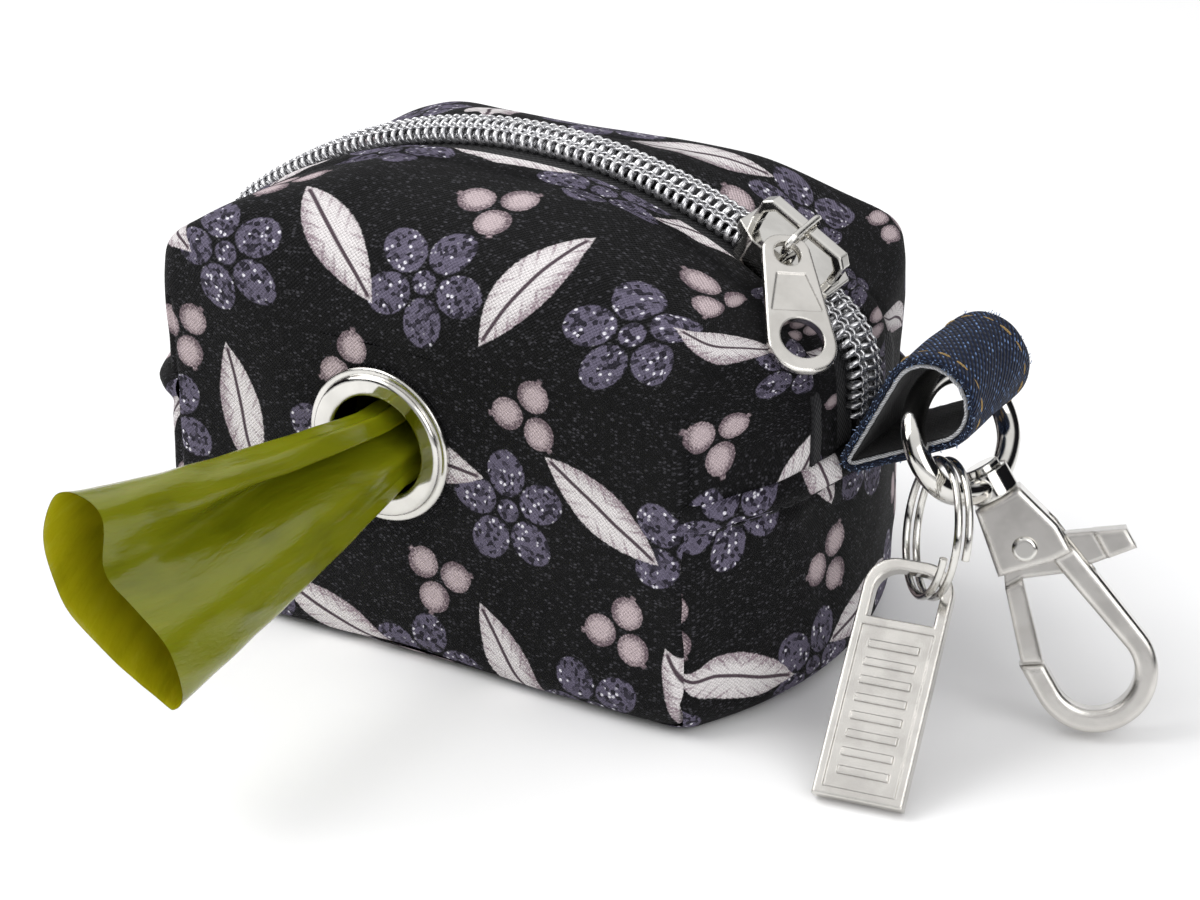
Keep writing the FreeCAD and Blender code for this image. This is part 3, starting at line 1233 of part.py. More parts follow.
# Tag: a plate with a loop, a sunk panel and plain ribs, leaning from the split ring to the ground
tag_body = new_body("tag_body")
tag_half = size("tag_width") / 2
window_top = ZERO
tag_top = size("tag_bar")
tag_foot = tag_top - size("tag_length")
window_foot = window_top - size("tag_window")
window_half = tag_half - size("tag_bar")
tag_outline = body_sketch(tag_body, "tag_outline")
draw_polygon(tag_outline, "tag", [
    (-tag_half, tag_top), (-tag_half, tag_foot), (tag_half, tag_foot), (tag_half, tag_top)])
tag_pad = pad(tag_body, "tag_pad", tag_outline, size("tag_thickness"))
tag_window = body_sketch(tag_body, "tag_window")
draw_polygon(tag_window, "window", [
    (-window_half, window_top), (-window_half, window_foot),
    (window_half, window_foot), (window_half, window_top)])
tag_pierced = pocket(tag_body, "tag_pierced", tag_window, size("tag_thickness") * 2)
tag_shoulders = round_edges(tag_body, "tag_shoulders", tag_pierced, tag_half * LOOP_ROUND_SHARE,
                            lambda edge: upright_at(tag_top.value, edge))
tag_inner = round_edges(tag_body, "tag_inner", tag_shoulders, window_half * LOOP_ROUND_SHARE,
                        lambda edge: upright_at(window_top.value, edge))
half_tag = number("tag_thickness") / 2
round_edges(tag_body, "tag_rim", tag_inner, size("small_round"),
            lambda edge: flat_at(half_tag, edge) or flat_at(-half_tag, edge))
tag_margin = size("tag_panel_margin")
panel_half = tag_half - tag_margin
tag_panel_top = window_foot - tag_margin
tag_panel_foot = tag_foot + tag_margin
tag_panel = body_sketch(tag_body, "tag_panel")
draw_polygon(tag_panel, "panel", [
    (-panel_half, tag_panel_top), (-panel_half, tag_panel_foot),
    (panel_half, tag_panel_foot), (panel_half, tag_panel_top)])
pocket_from(tag_body, "tag_sunk", tag_panel, size("tag_thickness") / 2, size("tag_panel_depth"))
rib_step = size("tag_rib_width") + size("tag_rib_gap")
rib_count = int((tag_panel_top - tag_panel_foot - size("tag_rib_gap")).value / rib_step.value)
rib_field = rib_step * rib_count - size("tag_rib_gap")
rib_start = (tag_panel_top + tag_panel_foot - rib_field) / 2
rib_half = panel_half - size("tag_rib_gap")
tag_ribs = body_sketch(tag_body, "tag_ribs")
for rib in range(rib_count):
    low = rib_start + rib_step * rib
    high = low + size("tag_rib_width")
    draw_polygon(tag_ribs, f"rib{rib}_", [
        (-rib_half, high), (-rib_half, low), (rib_half, low), (rib_half, high)])
panel_floor = size("tag_thickness") / 2 - size("tag_panel_depth")
tag_ribs.setExpression("AttachmentOffset.Base.z", panel_floor.text)
rib_pad = tag_body.newObject("PartDesign::Pad", "rib_pad")
rib_pad.Profile = tag_ribs
bind(rib_pad, Length=size("tag_panel_depth"))
hang_point = split_centre + split_down * number("split_radius") + half_strands
tag_turn = math.radians(number("tag_turn"))
tag_lean = math.radians(number("tag_lean"))
tag_across = Vector(math.cos(tag_turn), -math.sin(tag_turn), 0)
tag_back = Vector(math.sin(tag_turn), math.cos(tag_turn), 0)
tag_up = tag_back * math.sin(tag_lean) - down * math.cos(tag_lean)
tag_seat = hang_point - down * number("tag_hold") - tag_across * number("tag_shift")
tag_body.Placement = Placement(tag_seat, Rotation(tag_across, tag_up, tag_across.cross(tag_up), "ZXY"))
node(tag_body, "tag")

# Roll of bags on its core, lying on the pouch floor
roll_radius = size("roll_diameter") / 2
core_radius = size("core_diameter") / 2
roll_centre = Vector(0, number("roll_back"), (stack + size("roll_gap") + roll_radius).value)


def tube_body(label, outer, inner, length):
    """A round tube along X about the roll's axis."""
    body = new_body(f"{label}_body")
    sketch = body_sketch(body, f"{label}_sketch")
    draw_circle(sketch, "outside", ZERO, ZERO, outer)
    draw_circle(sketch, "inside", ZERO, ZERO, inner)
    pad(body, f"{label}_pad", sketch, length)
    body.Placement = Placement(roll_centre, Rotation(Vector(0, 1, 0), 90))
    return node(body, label)


tube_body("bag_roll", roll_radius, core_radius, size("roll_length"))
tube_body("roll_core", core_radius, core_radius - size("core_wall"), size("roll_length"))

# Pulled bag: gathered in the eyelet, opening out to a tilted oval mouth with a deep fold along one side
bag_lean = math.radians(number("bag_tilt"))
bag_long = Vector(-math.sin(bag_lean), 0, math.cos(bag_lean))
bag_side = Vector(math.cos(bag_lean), 0, math.sin(bag_lean))
bag_turn = Rotation(bag_long, forward.cross(bag_long), forward, "ZXY")
fold_turn = Rotation(bag_side, forward.cross(bag_side), forward, "ZXY")
neck_long, neck_short = size("bag_neck_width") / 2, size("bag_neck_height") / 2
mouth_long, mouth_short = size("bag_mouth_length") / 2, size("bag_mouth_width") / 2


def bag_middle(open_share):
    """Middle of the bag's oval, beside and above the eyelet, open_share of the way from neck to mouth."""
    shift = size("bag_mouth_shift") * open_share
    lift = size("bag_mouth_rise") * open_share - size("bag_neck_drop") * (1 - open_share)
    return size("eyelet_x") + shift, eyelet_z + lift


def bag_section(name, ahead, open_share, wall_share):
    """An oval of the bag at a distance ahead of the pouch front, opened by a share from neck to mouth."""
    film = size("bag_wall") * wall_share
    oval = doc.addObject("Part::Ellipse", name)
    bind(oval, MajorRadius=neck_long + (mouth_long - neck_long) * open_share - film,
         MinorRadius=neck_short + (mouth_short - neck_short) * open_share - film)
    x, z = bag_middle(open_share)
    return bind_base(oval, x, -half_depth - ahead, z, bag_turn)


def fold_section(name, ahead, open_share, wall_share, width, depth, rise):
    """An oval of the fold's hollow, standing out of the bag's near side by as much as it is wide."""
    film = size("bag_wall") * wall_share
    oval = doc.addObject("Part::Ellipse", name)
    bind(oval, MajorRadius=width + depth + film, MinorRadius=width / 2 + film)
    out = neck_short + (mouth_short - neck_short) * open_share + width
    x, z = bag_middle(open_share)
    x = x + out * bag_side.x + rise * bag_long.x
    z = z + out * bag_side.z + rise * bag_long.z
    return bind_base(oval, x, -half_depth - ahead, z, fold_turn)


def bag_loft(name, sections):
    """A smooth solid through the sections."""
    loft = doc.addObject("Part::Loft", name)
    loft.Sections = sections
    loft.Solid = True
    loft.Ruled = False
    return loft


reach = size("bag_reach")
flare_start = size("bag_flare_start")
flare = reach - flare_start
inside_end = -size("bag_inside")
fold_start_share = (number("fold_start") - flare_start.value) / flare.value
pocket_share = 1 - number("bag_pocket") / flare.value


def fold_loft(name, wall_share):
    """The fold's hollow from its start past the mouth, grown by the film."""
    middle_ahead = flare_start + flare * FOLD_MIDDLE_SHARE
    return bag_loft(name, [
        fold_section(f"{name}_start", size("fold_start"), fold_start_share, wall_share,
                     size("fold_start_width"), size("fold_start_depth"), ZERO),
        fold_section(f"{name}_middle", middle_ahead, FOLD_MIDDLE_SHARE, wall_share,
                     size("fold_middle_width"), size("fold_middle_depth"),
                     size("fold_mouth_rise") * FOLD_MIDDLE_SHARE),
        fold_section(f"{name}_end", reach + size("fold_start"), 1, wall_share,
                     size("fold_mouth_width"), size("fold_mouth_depth"), size("fold_mouth_rise"))])


def bag_run(name, first, second):
    """A straight run of the bag between two ovals: distance ahead, open share and wall share of each."""
    return bag_loft(name, [bag_section(f"{name}_{end}", *oval) for end, oval in enumerate((first, second))])


behind = inside_end * BAG_BEHIND_SHARE
bag_outer = fuse("bag_outer",
                 bag_run("bag_gathered", (inside_end, 0, BAG_TAIL_SHARE), (behind, 0, 0)),
                 bag_run("bag_neck", (behind, 0, 0), (flare_start, 0, 0)),
                 bag_run("bag_flare", (flare_start, 0, 0), (reach, 1, 0)))
bag_inner = bag_run("bag_inner", (reach - size("bag_pocket"), pocket_share, 1), (reach, 1, 1))
bag_folded = cut("bag_folded", bag_outer, fold_loft("fold_outer", 0))
bag_hollow = cut("bag_hollow", bag_inner, fold_loft("fold_inner", 1))
node(cut("bag_shape", bag_folded, bag_hollow), "bag_tail")

# Every object has to be whole before anything is written
doc.recompute()
broken = [item.Label for item in doc.Objects if "Invalid" in item.State or "Error" in item.State]
for item in NODES:
    if item.Shape.isNull() or not item.Shape.isValid() or len(item.Shape.Solids) != 1:
        broken.append(item.Label)
if broken:
    raise RuntimeError(f"not whole: {broken}")
for item in NODES:
    item.Shape.exportStep(f"parts/{item.Label}.step")
    box = item.Shape.BoundBox
    corners = [round(value, 2) for value in (box.XMin, box.XMax, box.YMin, box.YMax, box.ZMin, box.ZMax)]
    print(item.Label, round(item.Shape.Volume, 1), corners)
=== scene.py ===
"""Dressed scene of a zipped cloth pouch for a roll of bags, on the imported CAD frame.

Lengths are millimetres in the code and metres in the meshes. +X points to the denim loop, -Y out of the
eyelet and +Z up. The metal pieces are the CAD nodes with their own finishes; every soft piece is built here.
"""
import logging
import math
from dataclasses import dataclass, field
from enum import Enum
from typing import Sequence

import bpy
import numpy as np
from mathutils import Matrix


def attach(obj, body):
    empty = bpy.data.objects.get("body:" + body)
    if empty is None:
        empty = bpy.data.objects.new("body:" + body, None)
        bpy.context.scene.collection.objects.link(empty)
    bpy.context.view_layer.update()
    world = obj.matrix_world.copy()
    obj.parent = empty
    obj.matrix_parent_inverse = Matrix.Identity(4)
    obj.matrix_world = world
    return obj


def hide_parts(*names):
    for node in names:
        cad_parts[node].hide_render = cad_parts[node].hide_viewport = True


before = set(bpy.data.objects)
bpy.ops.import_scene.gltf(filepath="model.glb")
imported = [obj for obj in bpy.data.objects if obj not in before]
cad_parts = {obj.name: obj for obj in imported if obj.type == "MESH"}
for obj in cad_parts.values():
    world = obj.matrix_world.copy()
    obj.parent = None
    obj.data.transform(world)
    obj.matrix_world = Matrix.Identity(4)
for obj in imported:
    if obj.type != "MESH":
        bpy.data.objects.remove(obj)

LOG = logging.getLogger("pouch")
MM = 0.001
FULL_TURN = 2 * math.pi
CLOTH_MAP = "cloth"
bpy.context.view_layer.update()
HALF_TURN_ABOUT_Z = np.array([-1.0, -1.0, 1.0])

Pair = tuple[float, float]
Triple = tuple[float, float, float]
Colour = tuple[float, float, float, float]


class Slot(Enum):
    """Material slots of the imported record."""

    PRINT = "printed_cotton"
    LINING = "lining_cotton"
    TAPE = "zip_tape"
    COIL = "zip_coil"
    DENIM = "denim"
    FILM = "bag_film"
    CARD = "core_card"


class Carrier(Enum):
    """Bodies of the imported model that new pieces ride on."""

    POUCH = "pouch"
    LOOP = "loop"
    TAIL = "tail"
    ROLL = "roll"


# Small numeric helpers


def linear(hex_code: str) -> Colour:
    """Colour of an sRGB hex code as linear light.

    Args:
        hex_code: six hex digits with a leading hash sign.

    Returns:
        Red, green, blue and an alpha of one.
    """
    channels = np.array([int(hex_code[place:place + 2], 16) for place in (1, 3, 5)]) / 255
    low = channels / 12.92
    high = ((channels + 0.055) / 1.055) ** 2.4
    red, green, blue = np.where(channels <= 0.04045, low, high)
    return float(red), float(green), float(blue), 1.0


def smooth_step(low: float, high: float, values: np.ndarray) -> np.ndarray:
    """Zero below low, one above high, with a smooth rise between.

    Args:
        low: where the rise starts.
        high: where it ends, below low for a fall.
        values: where the share is wanted.

    Returns:
        One share per value.
    """
    share = np.clip((values - low) / (high - low), 0, 1)
    return share * share * (3 - 2 * share)


def smooth_max(first: np.ndarray, second: np.ndarray, softness: float) -> np.ndarray:
    """The larger of two distances, rounded where they are within softness of each other.

    Args:
        first: distances.
        second: other distances.
        softness: width of the rounding.

    Returns:
        The rounded distances.
    """
    near = np.maximum(softness - np.abs(first - second), 0) / softness
    return np.maximum(first, second) + near * near * softness / 4


def hump(values: np.ndarray, middle: np.ndarray | float, width: np.ndarray | float,
         power: int = 2) -> np.ndarray:
    """One at the middle, falling off within about a width to either side."""
    return np.exp(-((values - middle) / width) ** power)


def waves(points: np.ndarray, pitch: float, seed: int) -> np.ndarray:
    """Soft uneven swell in the range of about minus one to one: a sum of sines in fixed directions.

    Args:
        points: places in mm, one row each.
        pitch: length of the longest wave in mm.
        seed: picks the directions.

    Returns:
        One height per place.
    """
    count, shortest, longest = 7, 0.55, 1.2
    draw = np.random.default_rng(seed)
    ways = draw.normal(size=(count, 3))
    ways /= np.linalg.norm(ways, axis=1, keepdims=True)
    pitches = pitch * draw.uniform(shortest, longest, count)
    phases = draw.uniform(0, FULL_TURN, count)
    return np.sin(points @ (ways / pitches[:, None]).T * FULL_TURN + phases).sum(axis=1) / count * 2


def grid_faces(rows: int, columns: int, round_rows: bool = False, round_columns: bool = False) -> np.ndarray:
    """Four-sided faces of a grid of points stored row by row.

    Args:
        rows: points along the first way.
        columns: points along the second way.
        round_rows: whether the last row joins the first.
        round_columns: whether the last column joins the first.

    Returns:
        One row of four indices per face.
    """
    row = np.arange(rows if round_rows else rows - 1)[:, None]
    column = np.arange(columns if round_columns else columns - 1)[None, :]
    next_row = (row + 1) % rows
    next_column = (column + 1) % columns
    corners = (row * columns + column, row * columns + next_column,
               next_row * columns + next_column, next_row * columns + column)
    return np.stack(corners, axis=-1).reshape(-1, 4)


def unit(vectors: np.ndarray) -> np.ndarray:
    """Vectors scaled to length one."""
    return vectors / np.maximum(np.linalg.norm(vectors, axis=-1, keepdims=True), 1e-12)


def lengths_along(points: np.ndarray, axis: int) -> np.ndarray:
    """Distance walked along one axis of a grid of points.

    Args:
        points: the grid.
        axis: the axis to walk.

    Returns:
        Distance from the start at each point.
    """
    steps = np.linalg.norm(np.diff(points, axis=axis), axis=-1)
    start = np.zeros_like(np.take(steps, [0], axis=axis))
    return np.concatenate([start, np.cumsum(steps, axis=axis)], axis=axis)


@dataclass
class Sheet:
    """Points, faces and cloth places of one surface, in mm."""

    points: np.ndarray
    faces: np.ndarray
    cloth: np.ndarray

    @classmethod
    def of_grid(cls, grid: np.ndarray, cloth: np.ndarray, round_rows: bool = False,
                round_columns: bool = False) -> "Sheet":
        """A sheet over a grid of points.

        Args:
            grid: rows by columns by three.
            cloth: rows by columns by two, the place on the cloth.
            round_rows: whether the last row joins the first.
            round_columns: whether the last column joins the first.

        Returns:
            The sheet.
        """
        faces = grid_faces(grid.shape[0], grid.shape[1], round_rows, round_columns)
        return cls(grid.reshape(-1, 3), faces, cloth.reshape(-1, 2))

    @classmethod
    def joined(cls, sheets: Sequence["Sheet"]) -> "Sheet":
        """Several sheets as one, kept apart inside it.

        Args:
            sheets: the sheets.

        Returns:
            One sheet.
        """
        starts = np.cumsum([0] + [len(sheet.points) for sheet in sheets[:-1]])
        faces = [sheet.faces + start for sheet, start in zip(sheets, starts)]
        return cls(np.concatenate([sheet.points for sheet in sheets]), np.concatenate(faces),
                   np.concatenate([sheet.cloth for sheet in sheets]))

    def without(self, dropped: np.ndarray) -> "Sheet":
        """The sheet without the faces marked true."""
        return Sheet(self.points, self.faces[~dropped], self.cloth)

    def turned(self) -> "Sheet":
        """The sheet with its faces looking the other way."""
        return Sheet(self.points, self.faces[:, ::-1], self.cloth)


@dataclass
class Piece:
    """One Blender object made from a sheet, with its finish and the body that carries it."""

    name: str
    sheet: Sheet
    finish: "Finish"
    slot: Slot
    carrier: Carrier
    stands_for: tuple[str, ...] = ()
    rounds: int = 0
    thickness: float = 0.0
    weld: float = 0.0

    def build(self) -> bpy.types.Object:
        """Makes the object, rides it on its body and hides the nodes it stands for.

        Returns:
            The new object.
        """
        mesh = bpy.data.meshes.new(self.name)
        mesh.from_pydata((self.sheet.points * MM).tolist(), [], self.sheet.faces.tolist())
        layer = mesh.uv_layers.new(name=CLOTH_MAP)
        layer.uv.foreach_set("vector", self.sheet.cloth[self.sheet.faces.ravel()].astype(np.float32).ravel())
        mesh.shade_smooth()
        mesh.materials.append(self.finish.material())
        thing = bpy.data.objects.new(self.name, mesh)
        bpy.context.scene.collection.objects.link(thing)
        if self.weld:
            modifier = thing.modifiers.new("weld", "WELD")
            modifier.merge_threshold = self.weld * MM
        if self.thickness:
            modifier = thing.modifiers.new("thickness", "SOLIDIFY")
            modifier.thickness = self.thickness * MM
            modifier.offset = 0.0
        if self.rounds:
            modifier = thing.modifiers.new("rounding", "SUBSURF")
            modifier.levels = self.rounds
            modifier.render_levels = self.rounds
        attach(thing, self.carrier.value)
        if self.stands_for:
            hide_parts(*self.stands_for)
        LOG.info("%s: %d faces", self.name, len(self.sheet.faces))
        return thing


def tube(path: np.ndarray, radius: np.ndarray | float, sides: int, closed: bool = False) -> Sheet:
    """A round tube along a path.

    Each point of the path carries a ring of points. The ring's first direction is square to the path and to a
    steady direction, so that it turns little from one point to the next.

    Args:
        path: points in mm.
        radius: tube radius in mm, one for all or one per point.
        sides: points round the tube.
        closed: whether the path's end joins its start.

    Returns:
        The tube's sheet.
    """
    ahead = np.roll(path, -1, axis=0) - np.roll(path, 1, axis=0)
    if not closed:
        ahead[0] = path[1] - path[0]
        ahead[-1] = path[-1] - path[-2]
    ahead = unit(ahead)
    steady = np.array([0.13, 0.97, 0.21])
    across = unit(np.cross(ahead, steady))
    upright = np.cross(across, ahead)
    turn = np.linspace(0, FULL_TURN, sides, endpoint=False)
    size = np.broadcast_to(np.asarray(radius, dtype=float), (len(path),))[:, None, None]
    ring = np.cos(turn)[None, :, None] * across[:, None] + np.sin(turn)[None, :, None] * upright[:, None]
    grid = path[:, None] + size * ring
    walked = lengths_along(path[:, None], 0)
    cloth = np.stack([np.broadcast_to(walked, grid.shape[:2]),
                      np.broadcast_to(turn[None] * size[..., 0], grid.shape[:2])], axis=-1)
    return Sheet.of_grid(grid, cloth, round_rows=closed, round_columns=True)


# Finishes


class Field:
    """One value per shading point, held as a node's output, with plain arithmetic."""

    def __init__(self, tree: bpy.types.NodeTree, socket: bpy.types.NodeSocket) -> None:
        """Keeps the output and the tree that it is in."""
        self.tree = tree
        self.socket = socket

    def into(self, kind: str, *others: "Value", **named: "Value | str") -> "Field":
        """Adds a node that takes this field first, in the way that add does."""
        return add(self.tree, kind, self, *others, **named)

    def other(self, output: str) -> "Field":
        """Another output of the same node."""
        return Field(self.tree, self.socket.node.outputs[output])

    def __add__(self, other: "Field | float") -> "Field":
        """Sum."""
        return self.into("Math", other, operation="ADD")

    def __sub__(self, other: "Field | float") -> "Field":
        """Difference."""
        return self.into("Math", other, operation="SUBTRACT")

    def __mul__(self, other: "Field | float") -> "Field":
        """Product."""
        return self.into("Math", other, operation="MULTIPLY")

    def __truediv__(self, other: "Field | float") -> "Field":
        """Quotient."""
        return self.into("Math", other, operation="DIVIDE")

    def between(self, low: float, high: float) -> "Field":
        """A share from zero to one as a value from low to high."""
        return self * (high - low) + low

    def ramp(self, low: float, high: float) -> "Field":
        """Smooth rise from zero at low to one at high; falls instead if low is the larger."""
        rise = self.into("MapRange", min(low, high), max(low, high), interpolation_type="SMOOTHSTEP")
        return rise if low < high else rise.between(1.0, 0.0)


Value = Field | float | Colour


def feed(socket: bpy.types.NodeSocket, value: Value) -> None:
    """Links a field to an input, or sets it to a number or a colour.

    Args:
        socket: the input.
        value: what it takes.
    """
    if isinstance(value, Field):
        value.tree.links.new(value.socket, socket)
    else:
        socket.default_value = value


def add(tree: bpy.types.NodeTree, kind: str, *inputs: Value, output: str = "", **named: Value | str) -> Field:
    """Adds one node with its settings and links.

    Args:
        tree: node tree that takes the node.
        kind: Blender's name of the node, without its first word.
        inputs: a number, colour or field for each of the inputs in use, in order.
        output: name of the output that is wanted, or nothing for the first in use.
        named: the node's settings, whose names start with a small letter, and inputs by name, which start
            with a capital.

    Returns:
        The wanted output as a field.
    """
    node = tree.nodes.new("ShaderNode" + kind)
    for name, value in named.items():
        if name[0].islower():
            setattr(node, name, value)
    in_use = [socket for socket in node.inputs if socket.enabled]
    for socket, value in zip(in_use, inputs):
        feed(socket, value)
    for name, value in named.items():
        if name[0].isupper():
            feed(node.inputs[name], value)
    first = next(socket for socket in node.outputs if socket.enabled)
    return Field(tree, node.outputs[output] if output else first)


def length_of(first: Field, second: Field) -> Field:
    """Length of a flat vector from its two parts."""
    return (first * first + second * second).into("Math", operation="SQRT")


def rotated(first: Field, second: Field, angle: Field) -> tuple[Field, Field]:
    """A flat vector turned by an angle.

    Args:
        first: its first part.
        second: its second part.
        angle: the angle in radians.

    Returns:
        Both parts of the turned vector.
    """
    cosine = angle.into("Math", operation="COSINE")
    sine = angle.into("Math", operation="SINE")
    return first * cosine - second * sine, first * sine + second * cosine


def wave(place: Field, pitch: float, wobble: Field | float = 0.0) -> Field:
    """Ribs of a pitch in mm, minus one in the grooves and one on the ridges: the sine of place and wobble."""
    return (place * (FULL_TURN / pitch) + wobble).into("Math", operation="SINE")


@dataclass
class Recipe:
    """Node tree of one material, with its shader."""

    material: bpy.types.Material
    tree: bpy.types.NodeTree = field(init=False)
    shader: bpy.types.Node = field(init=False)

    def __post_init__(self) -> None:
        """Turns the material's nodes on and finds its shader."""
        self.material.use_nodes = True
        self.tree = self.material.node_tree
        self.shader = self.tree.nodes["Principled BSDF"]

    def add(self, kind: str, *inputs: Value, **named: Value | str) -> Field:
        """Adds one node to this material."""
        return add(self.tree, kind, *inputs, **named)

    def shade(self, **inputs: Value) -> None:
        """Sets or links the shader's inputs, by name with underscores for blanks."""
        for name, value in inputs.items():
            feed(self.shader.inputs[name.replace("_", " ")], value)

    def surface(self, colour: Field, roughness: Field, height: Field, depth: float, **more: Value) -> None:
        """Sets the surface's colour, roughness and relief, of a depth in mm, and any more inputs by name."""
        raised = self.add("Bump", Height=height, Distance=depth * MM)
        self.shade(Base_Color=colour, Roughness=roughness, Normal=raised, **more)

    def cloth_places(self) -> tuple[Field, Field, Field]:
        """Place on the cloth in mm.

        Returns:
            Along, across and both as one vector.
        """
        both = self.add("UVMap", uv_map=CLOTH_MAP)
        along = both.into("SeparateXYZ")
        return along, along.other("Y"), both

    def solid_places(self, stretch: Triple = (1.0, 1.0, 1.0)) -> Field:
        """Place in the object in mm, stretched along each axis."""
        per_metre = tuple(part / MM for part in stretch)
        return self.add("TexCoord", output="Object").into("VectorMath", per_metre, operation="MULTIPLY")

    def flakes(self, places: Field, pitch: float) -> tuple[Field, Field]:
        """Random number per flake, and distance from the flake's middle, for flakes of a pitch in mm."""
        near = self.add("TexVoronoi", places, 1 / pitch)
        return near.other("Color").into("SeparateColor"), near


@dataclass(frozen=True)
class Finish:
    """A material with a name; subclasses lay out its nodes."""

    name: str

    def material(self) -> bpy.types.Material:
        """The material, made once.

        Returns:
            The Blender material of that name.
        """
        made = bpy.data.materials.get(self.name)
        if made is None:
            made = bpy.data.materials.new(self.name)
            self.lay_out(Recipe(made))
        return made

    def lay_out(self, recipe: Recipe) -> None:
        """Adds the finish's nodes."""
        raise NotImplementedError


def weave(along: Field, across: Field, both: Field, pitch: float) -> Field:
    """Height of a plain weave: threads over and under in turn, uneven as spun thread is.

    Args:
        along: place along the cloth in mm.
        across: place across the cloth in mm.
        both: both as one vector.
        pitch: distance from thread to thread in mm.

    Returns:
        A height from zero to one.
    """
    patch, strength = 3, 2.2
    wobble = both.into("TexNoise", 1 / (pitch * patch)) * strength
    return (wave(along, pitch, wobble) * wave(across, pitch, wobble)).between(0.5, 1.0)


@dataclass(frozen=True)
class Inking:
    """What the motifs share: the nodes, the place on the cloth in mm, uneven outlines and fine shading dots."""

    recipe: Recipe
    along: Field
    across: Field
    both: Field
    ragged: Field
    stipple: Field


# Printed plain-woven cotton: matt and near black, with a fine grain of paler thread ends. The thread tops are
# painted paler as a painted highlight, and the gaps between threads darker as painted shade. The blossoms
# glitter in small flakes, some painted near white as painted glints, and the leaves and berries are stippled.
# The threads and slubs are drawn about twice as coarse as real ones so that they show.
@dataclass(frozen=True)
class PrintedCotton(Finish):
    """Black plain-woven cotton printed with blossoms, leaves and berries in lilac grey, white and dusty pink.

    Lengths are mm on the cloth; pairs are the values at which a tone or an outline starts and ends.
    """

    ground: str = "#040405"
    # Paler tone of the thread tops: a painted highlight.
    thread: str = "#2f2e33"
    slub: str = "#434247"
    glitter: str = "#6a6478"
    glitter_dark: str = "#26232e"
    # Near white of the painted glints on some glitter flakes.
    painted_glint: str = "#f4f2fa"
    leaf: str = "#efeaea"
    leaf_shade: str = "#a3929a"
    vein: str = "#55474f"
    berry: str = "#cdbcbf"
    berry_shade: str = "#6f5f66"
    thread_pitch: float = 0.62
    thread_tops: Pair = (0.45, 1.0)
    thread_gaps: Pair = (0.75, 0.2)
    # Share by which the gaps between threads are painted darker: painted shade.
    painted_gap_shade_share: float = 0.22
    weave_depth: float = 0.19
    slub_pitch: float = 0.9
    slub_ends: Pair = (0.42, 0.68)
    slub_rise: float = 0.4
    fleck_pitch: float = 0.48
    fleck_stretch: Pair = (0.7, 1.3)
    fleck_shift: float = 5.0
    fleck_pick: Pair = (0.45, 1.0)
    fleck_round: Pair = (0.6, 0.15)
    wear_pitch: float = 9.0
    ragged_pitch: float = 0.7
    stipple_pitch: float = 0.35
    ink_rise: float = 0.15
    ink_gloss: float = 0.3
    roughness: Pair = (0.62, 0.85)
    repeat: float = 30.0
    stray: float = 1.6
    blossom_place: Pair = (0.0, 0.0)
    blossom_seed: float = 3.0
    petal_count: int = 5
    petal_out: float = 5.7
    petal_long: float = 3.5
    petal_wide: float = 2.95
    petal_ragged: float = 0.3
    petal_edge: Pair = (1.05, 0.95)
    heart: float = 1.7
    heart_edge: Pair = (1.1, 0.9)
    glitter_pitch: float = 0.62
    glitter_pick: Pair = (0.12, 0.5)
    painted_glint_pick: Pair = (0.86, 0.89)
    painted_glint_round: Pair = (0.55, 0.25)
    leaf_place: Pair = (15.0, 4.0)
    leaf_seed: float = 11.0
    leaf_half: float = 11.0
    leaf_wide: float = 3.7
    leaf_ragged: float = 0.25
    leaf_edge: Pair = (1.03, 0.95)
    leaf_rim: Pair = (0.15, 1.0)
    leaf_tones: Pair = (0.25, 1.1)
    leaf_shares: Triple = (0.55, 0.35, 0.4)
    leaf_dots: float = 1.9
    rib_pitch: float = 2.6
    rib_slant: Pair = (0.9, 1.2)
    rib_tops: Pair = (0.5, 1.0)
    vein_edge: Pair = (0.42, 0.16)
    vein_end: Pair = (0.95, 0.8)
    berry_place: Pair = (4.0, 15.0)
    berry_seed: float = 29.0
    berry_count: int = 3
    berry_out: float = 3.2
    berry_round: float = 2.5
    berry_ragged: float = 0.25
    berry_edge: Pair = (1.04, 0.95)
    berry_rim: Pair = (0.2, 1.05)
    berry_tones: Pair = (0.2, 1.1)
    berry_shares: Pair = (0.8, 0.3)
    berry_dots: float = 2.0
    stalk_edge: Pair = (0.55, 0.3)
    stalk_tip: Pair = (6.4, 6.0)
    stalk_start: float = 1.0

    def motif(self, inking: Inking, place: Pair, seed: float) -> tuple[Field, Field]:
        """Place within the motif nearest to a point of the cloth, turned by the motif's own angle.

        Args:
            inking: what the motifs share.
            place: where the motif sits in its repeat, in mm.
            seed: picks the angles.

        Returns:
            The two parts of the place, in mm from the motif's middle.
        """
        row = (inking.across - place[1]) / self.repeat + 0.5
        row_number = row.into("Math", operation="FLOOR")
        column = (inking.along - place[0]) / self.repeat + row_number * 0.5 + 0.5
        where = (column.into("Math", operation="FLOOR") + seed).into("CombineXYZ", row_number + seed)
        angle = where.into("TexWhiteNoise", output="Color", noise_dimensions="3D").into("SeparateColor")
        sway, rise = angle.other("Green"), angle.other("Blue")
        first = (column.into("Math", operation="FRACT") - 0.5) * self.repeat + (sway - 0.5) * self.stray
        second = (row.into("Math", operation="FRACT") - 0.5) * self.repeat + (rise - 0.5) * self.stray
        return rotated(first, second, angle * FULL_TURN)

    def fan(self, first: Field, second: Field, count: int) -> tuple[Field, Field]:
        """A place folded into one of several equal sectors round the middle.

        Args:
            first: first part of the place.
            second: second part of the place.
            count: number of sectors.

        Returns:
            Distance out and distance aside.
        """
        sector = FULL_TURN / count
        turn = second.into("Math", first, operation="ARCTAN2") / sector
        angle = turn.into("Math", operation="FRACT") * sector - sector / 2
        reach = length_of(first, second)
        return reach * angle.into("Math", operation="COSINE"), reach * angle.into("Math", operation="SINE")

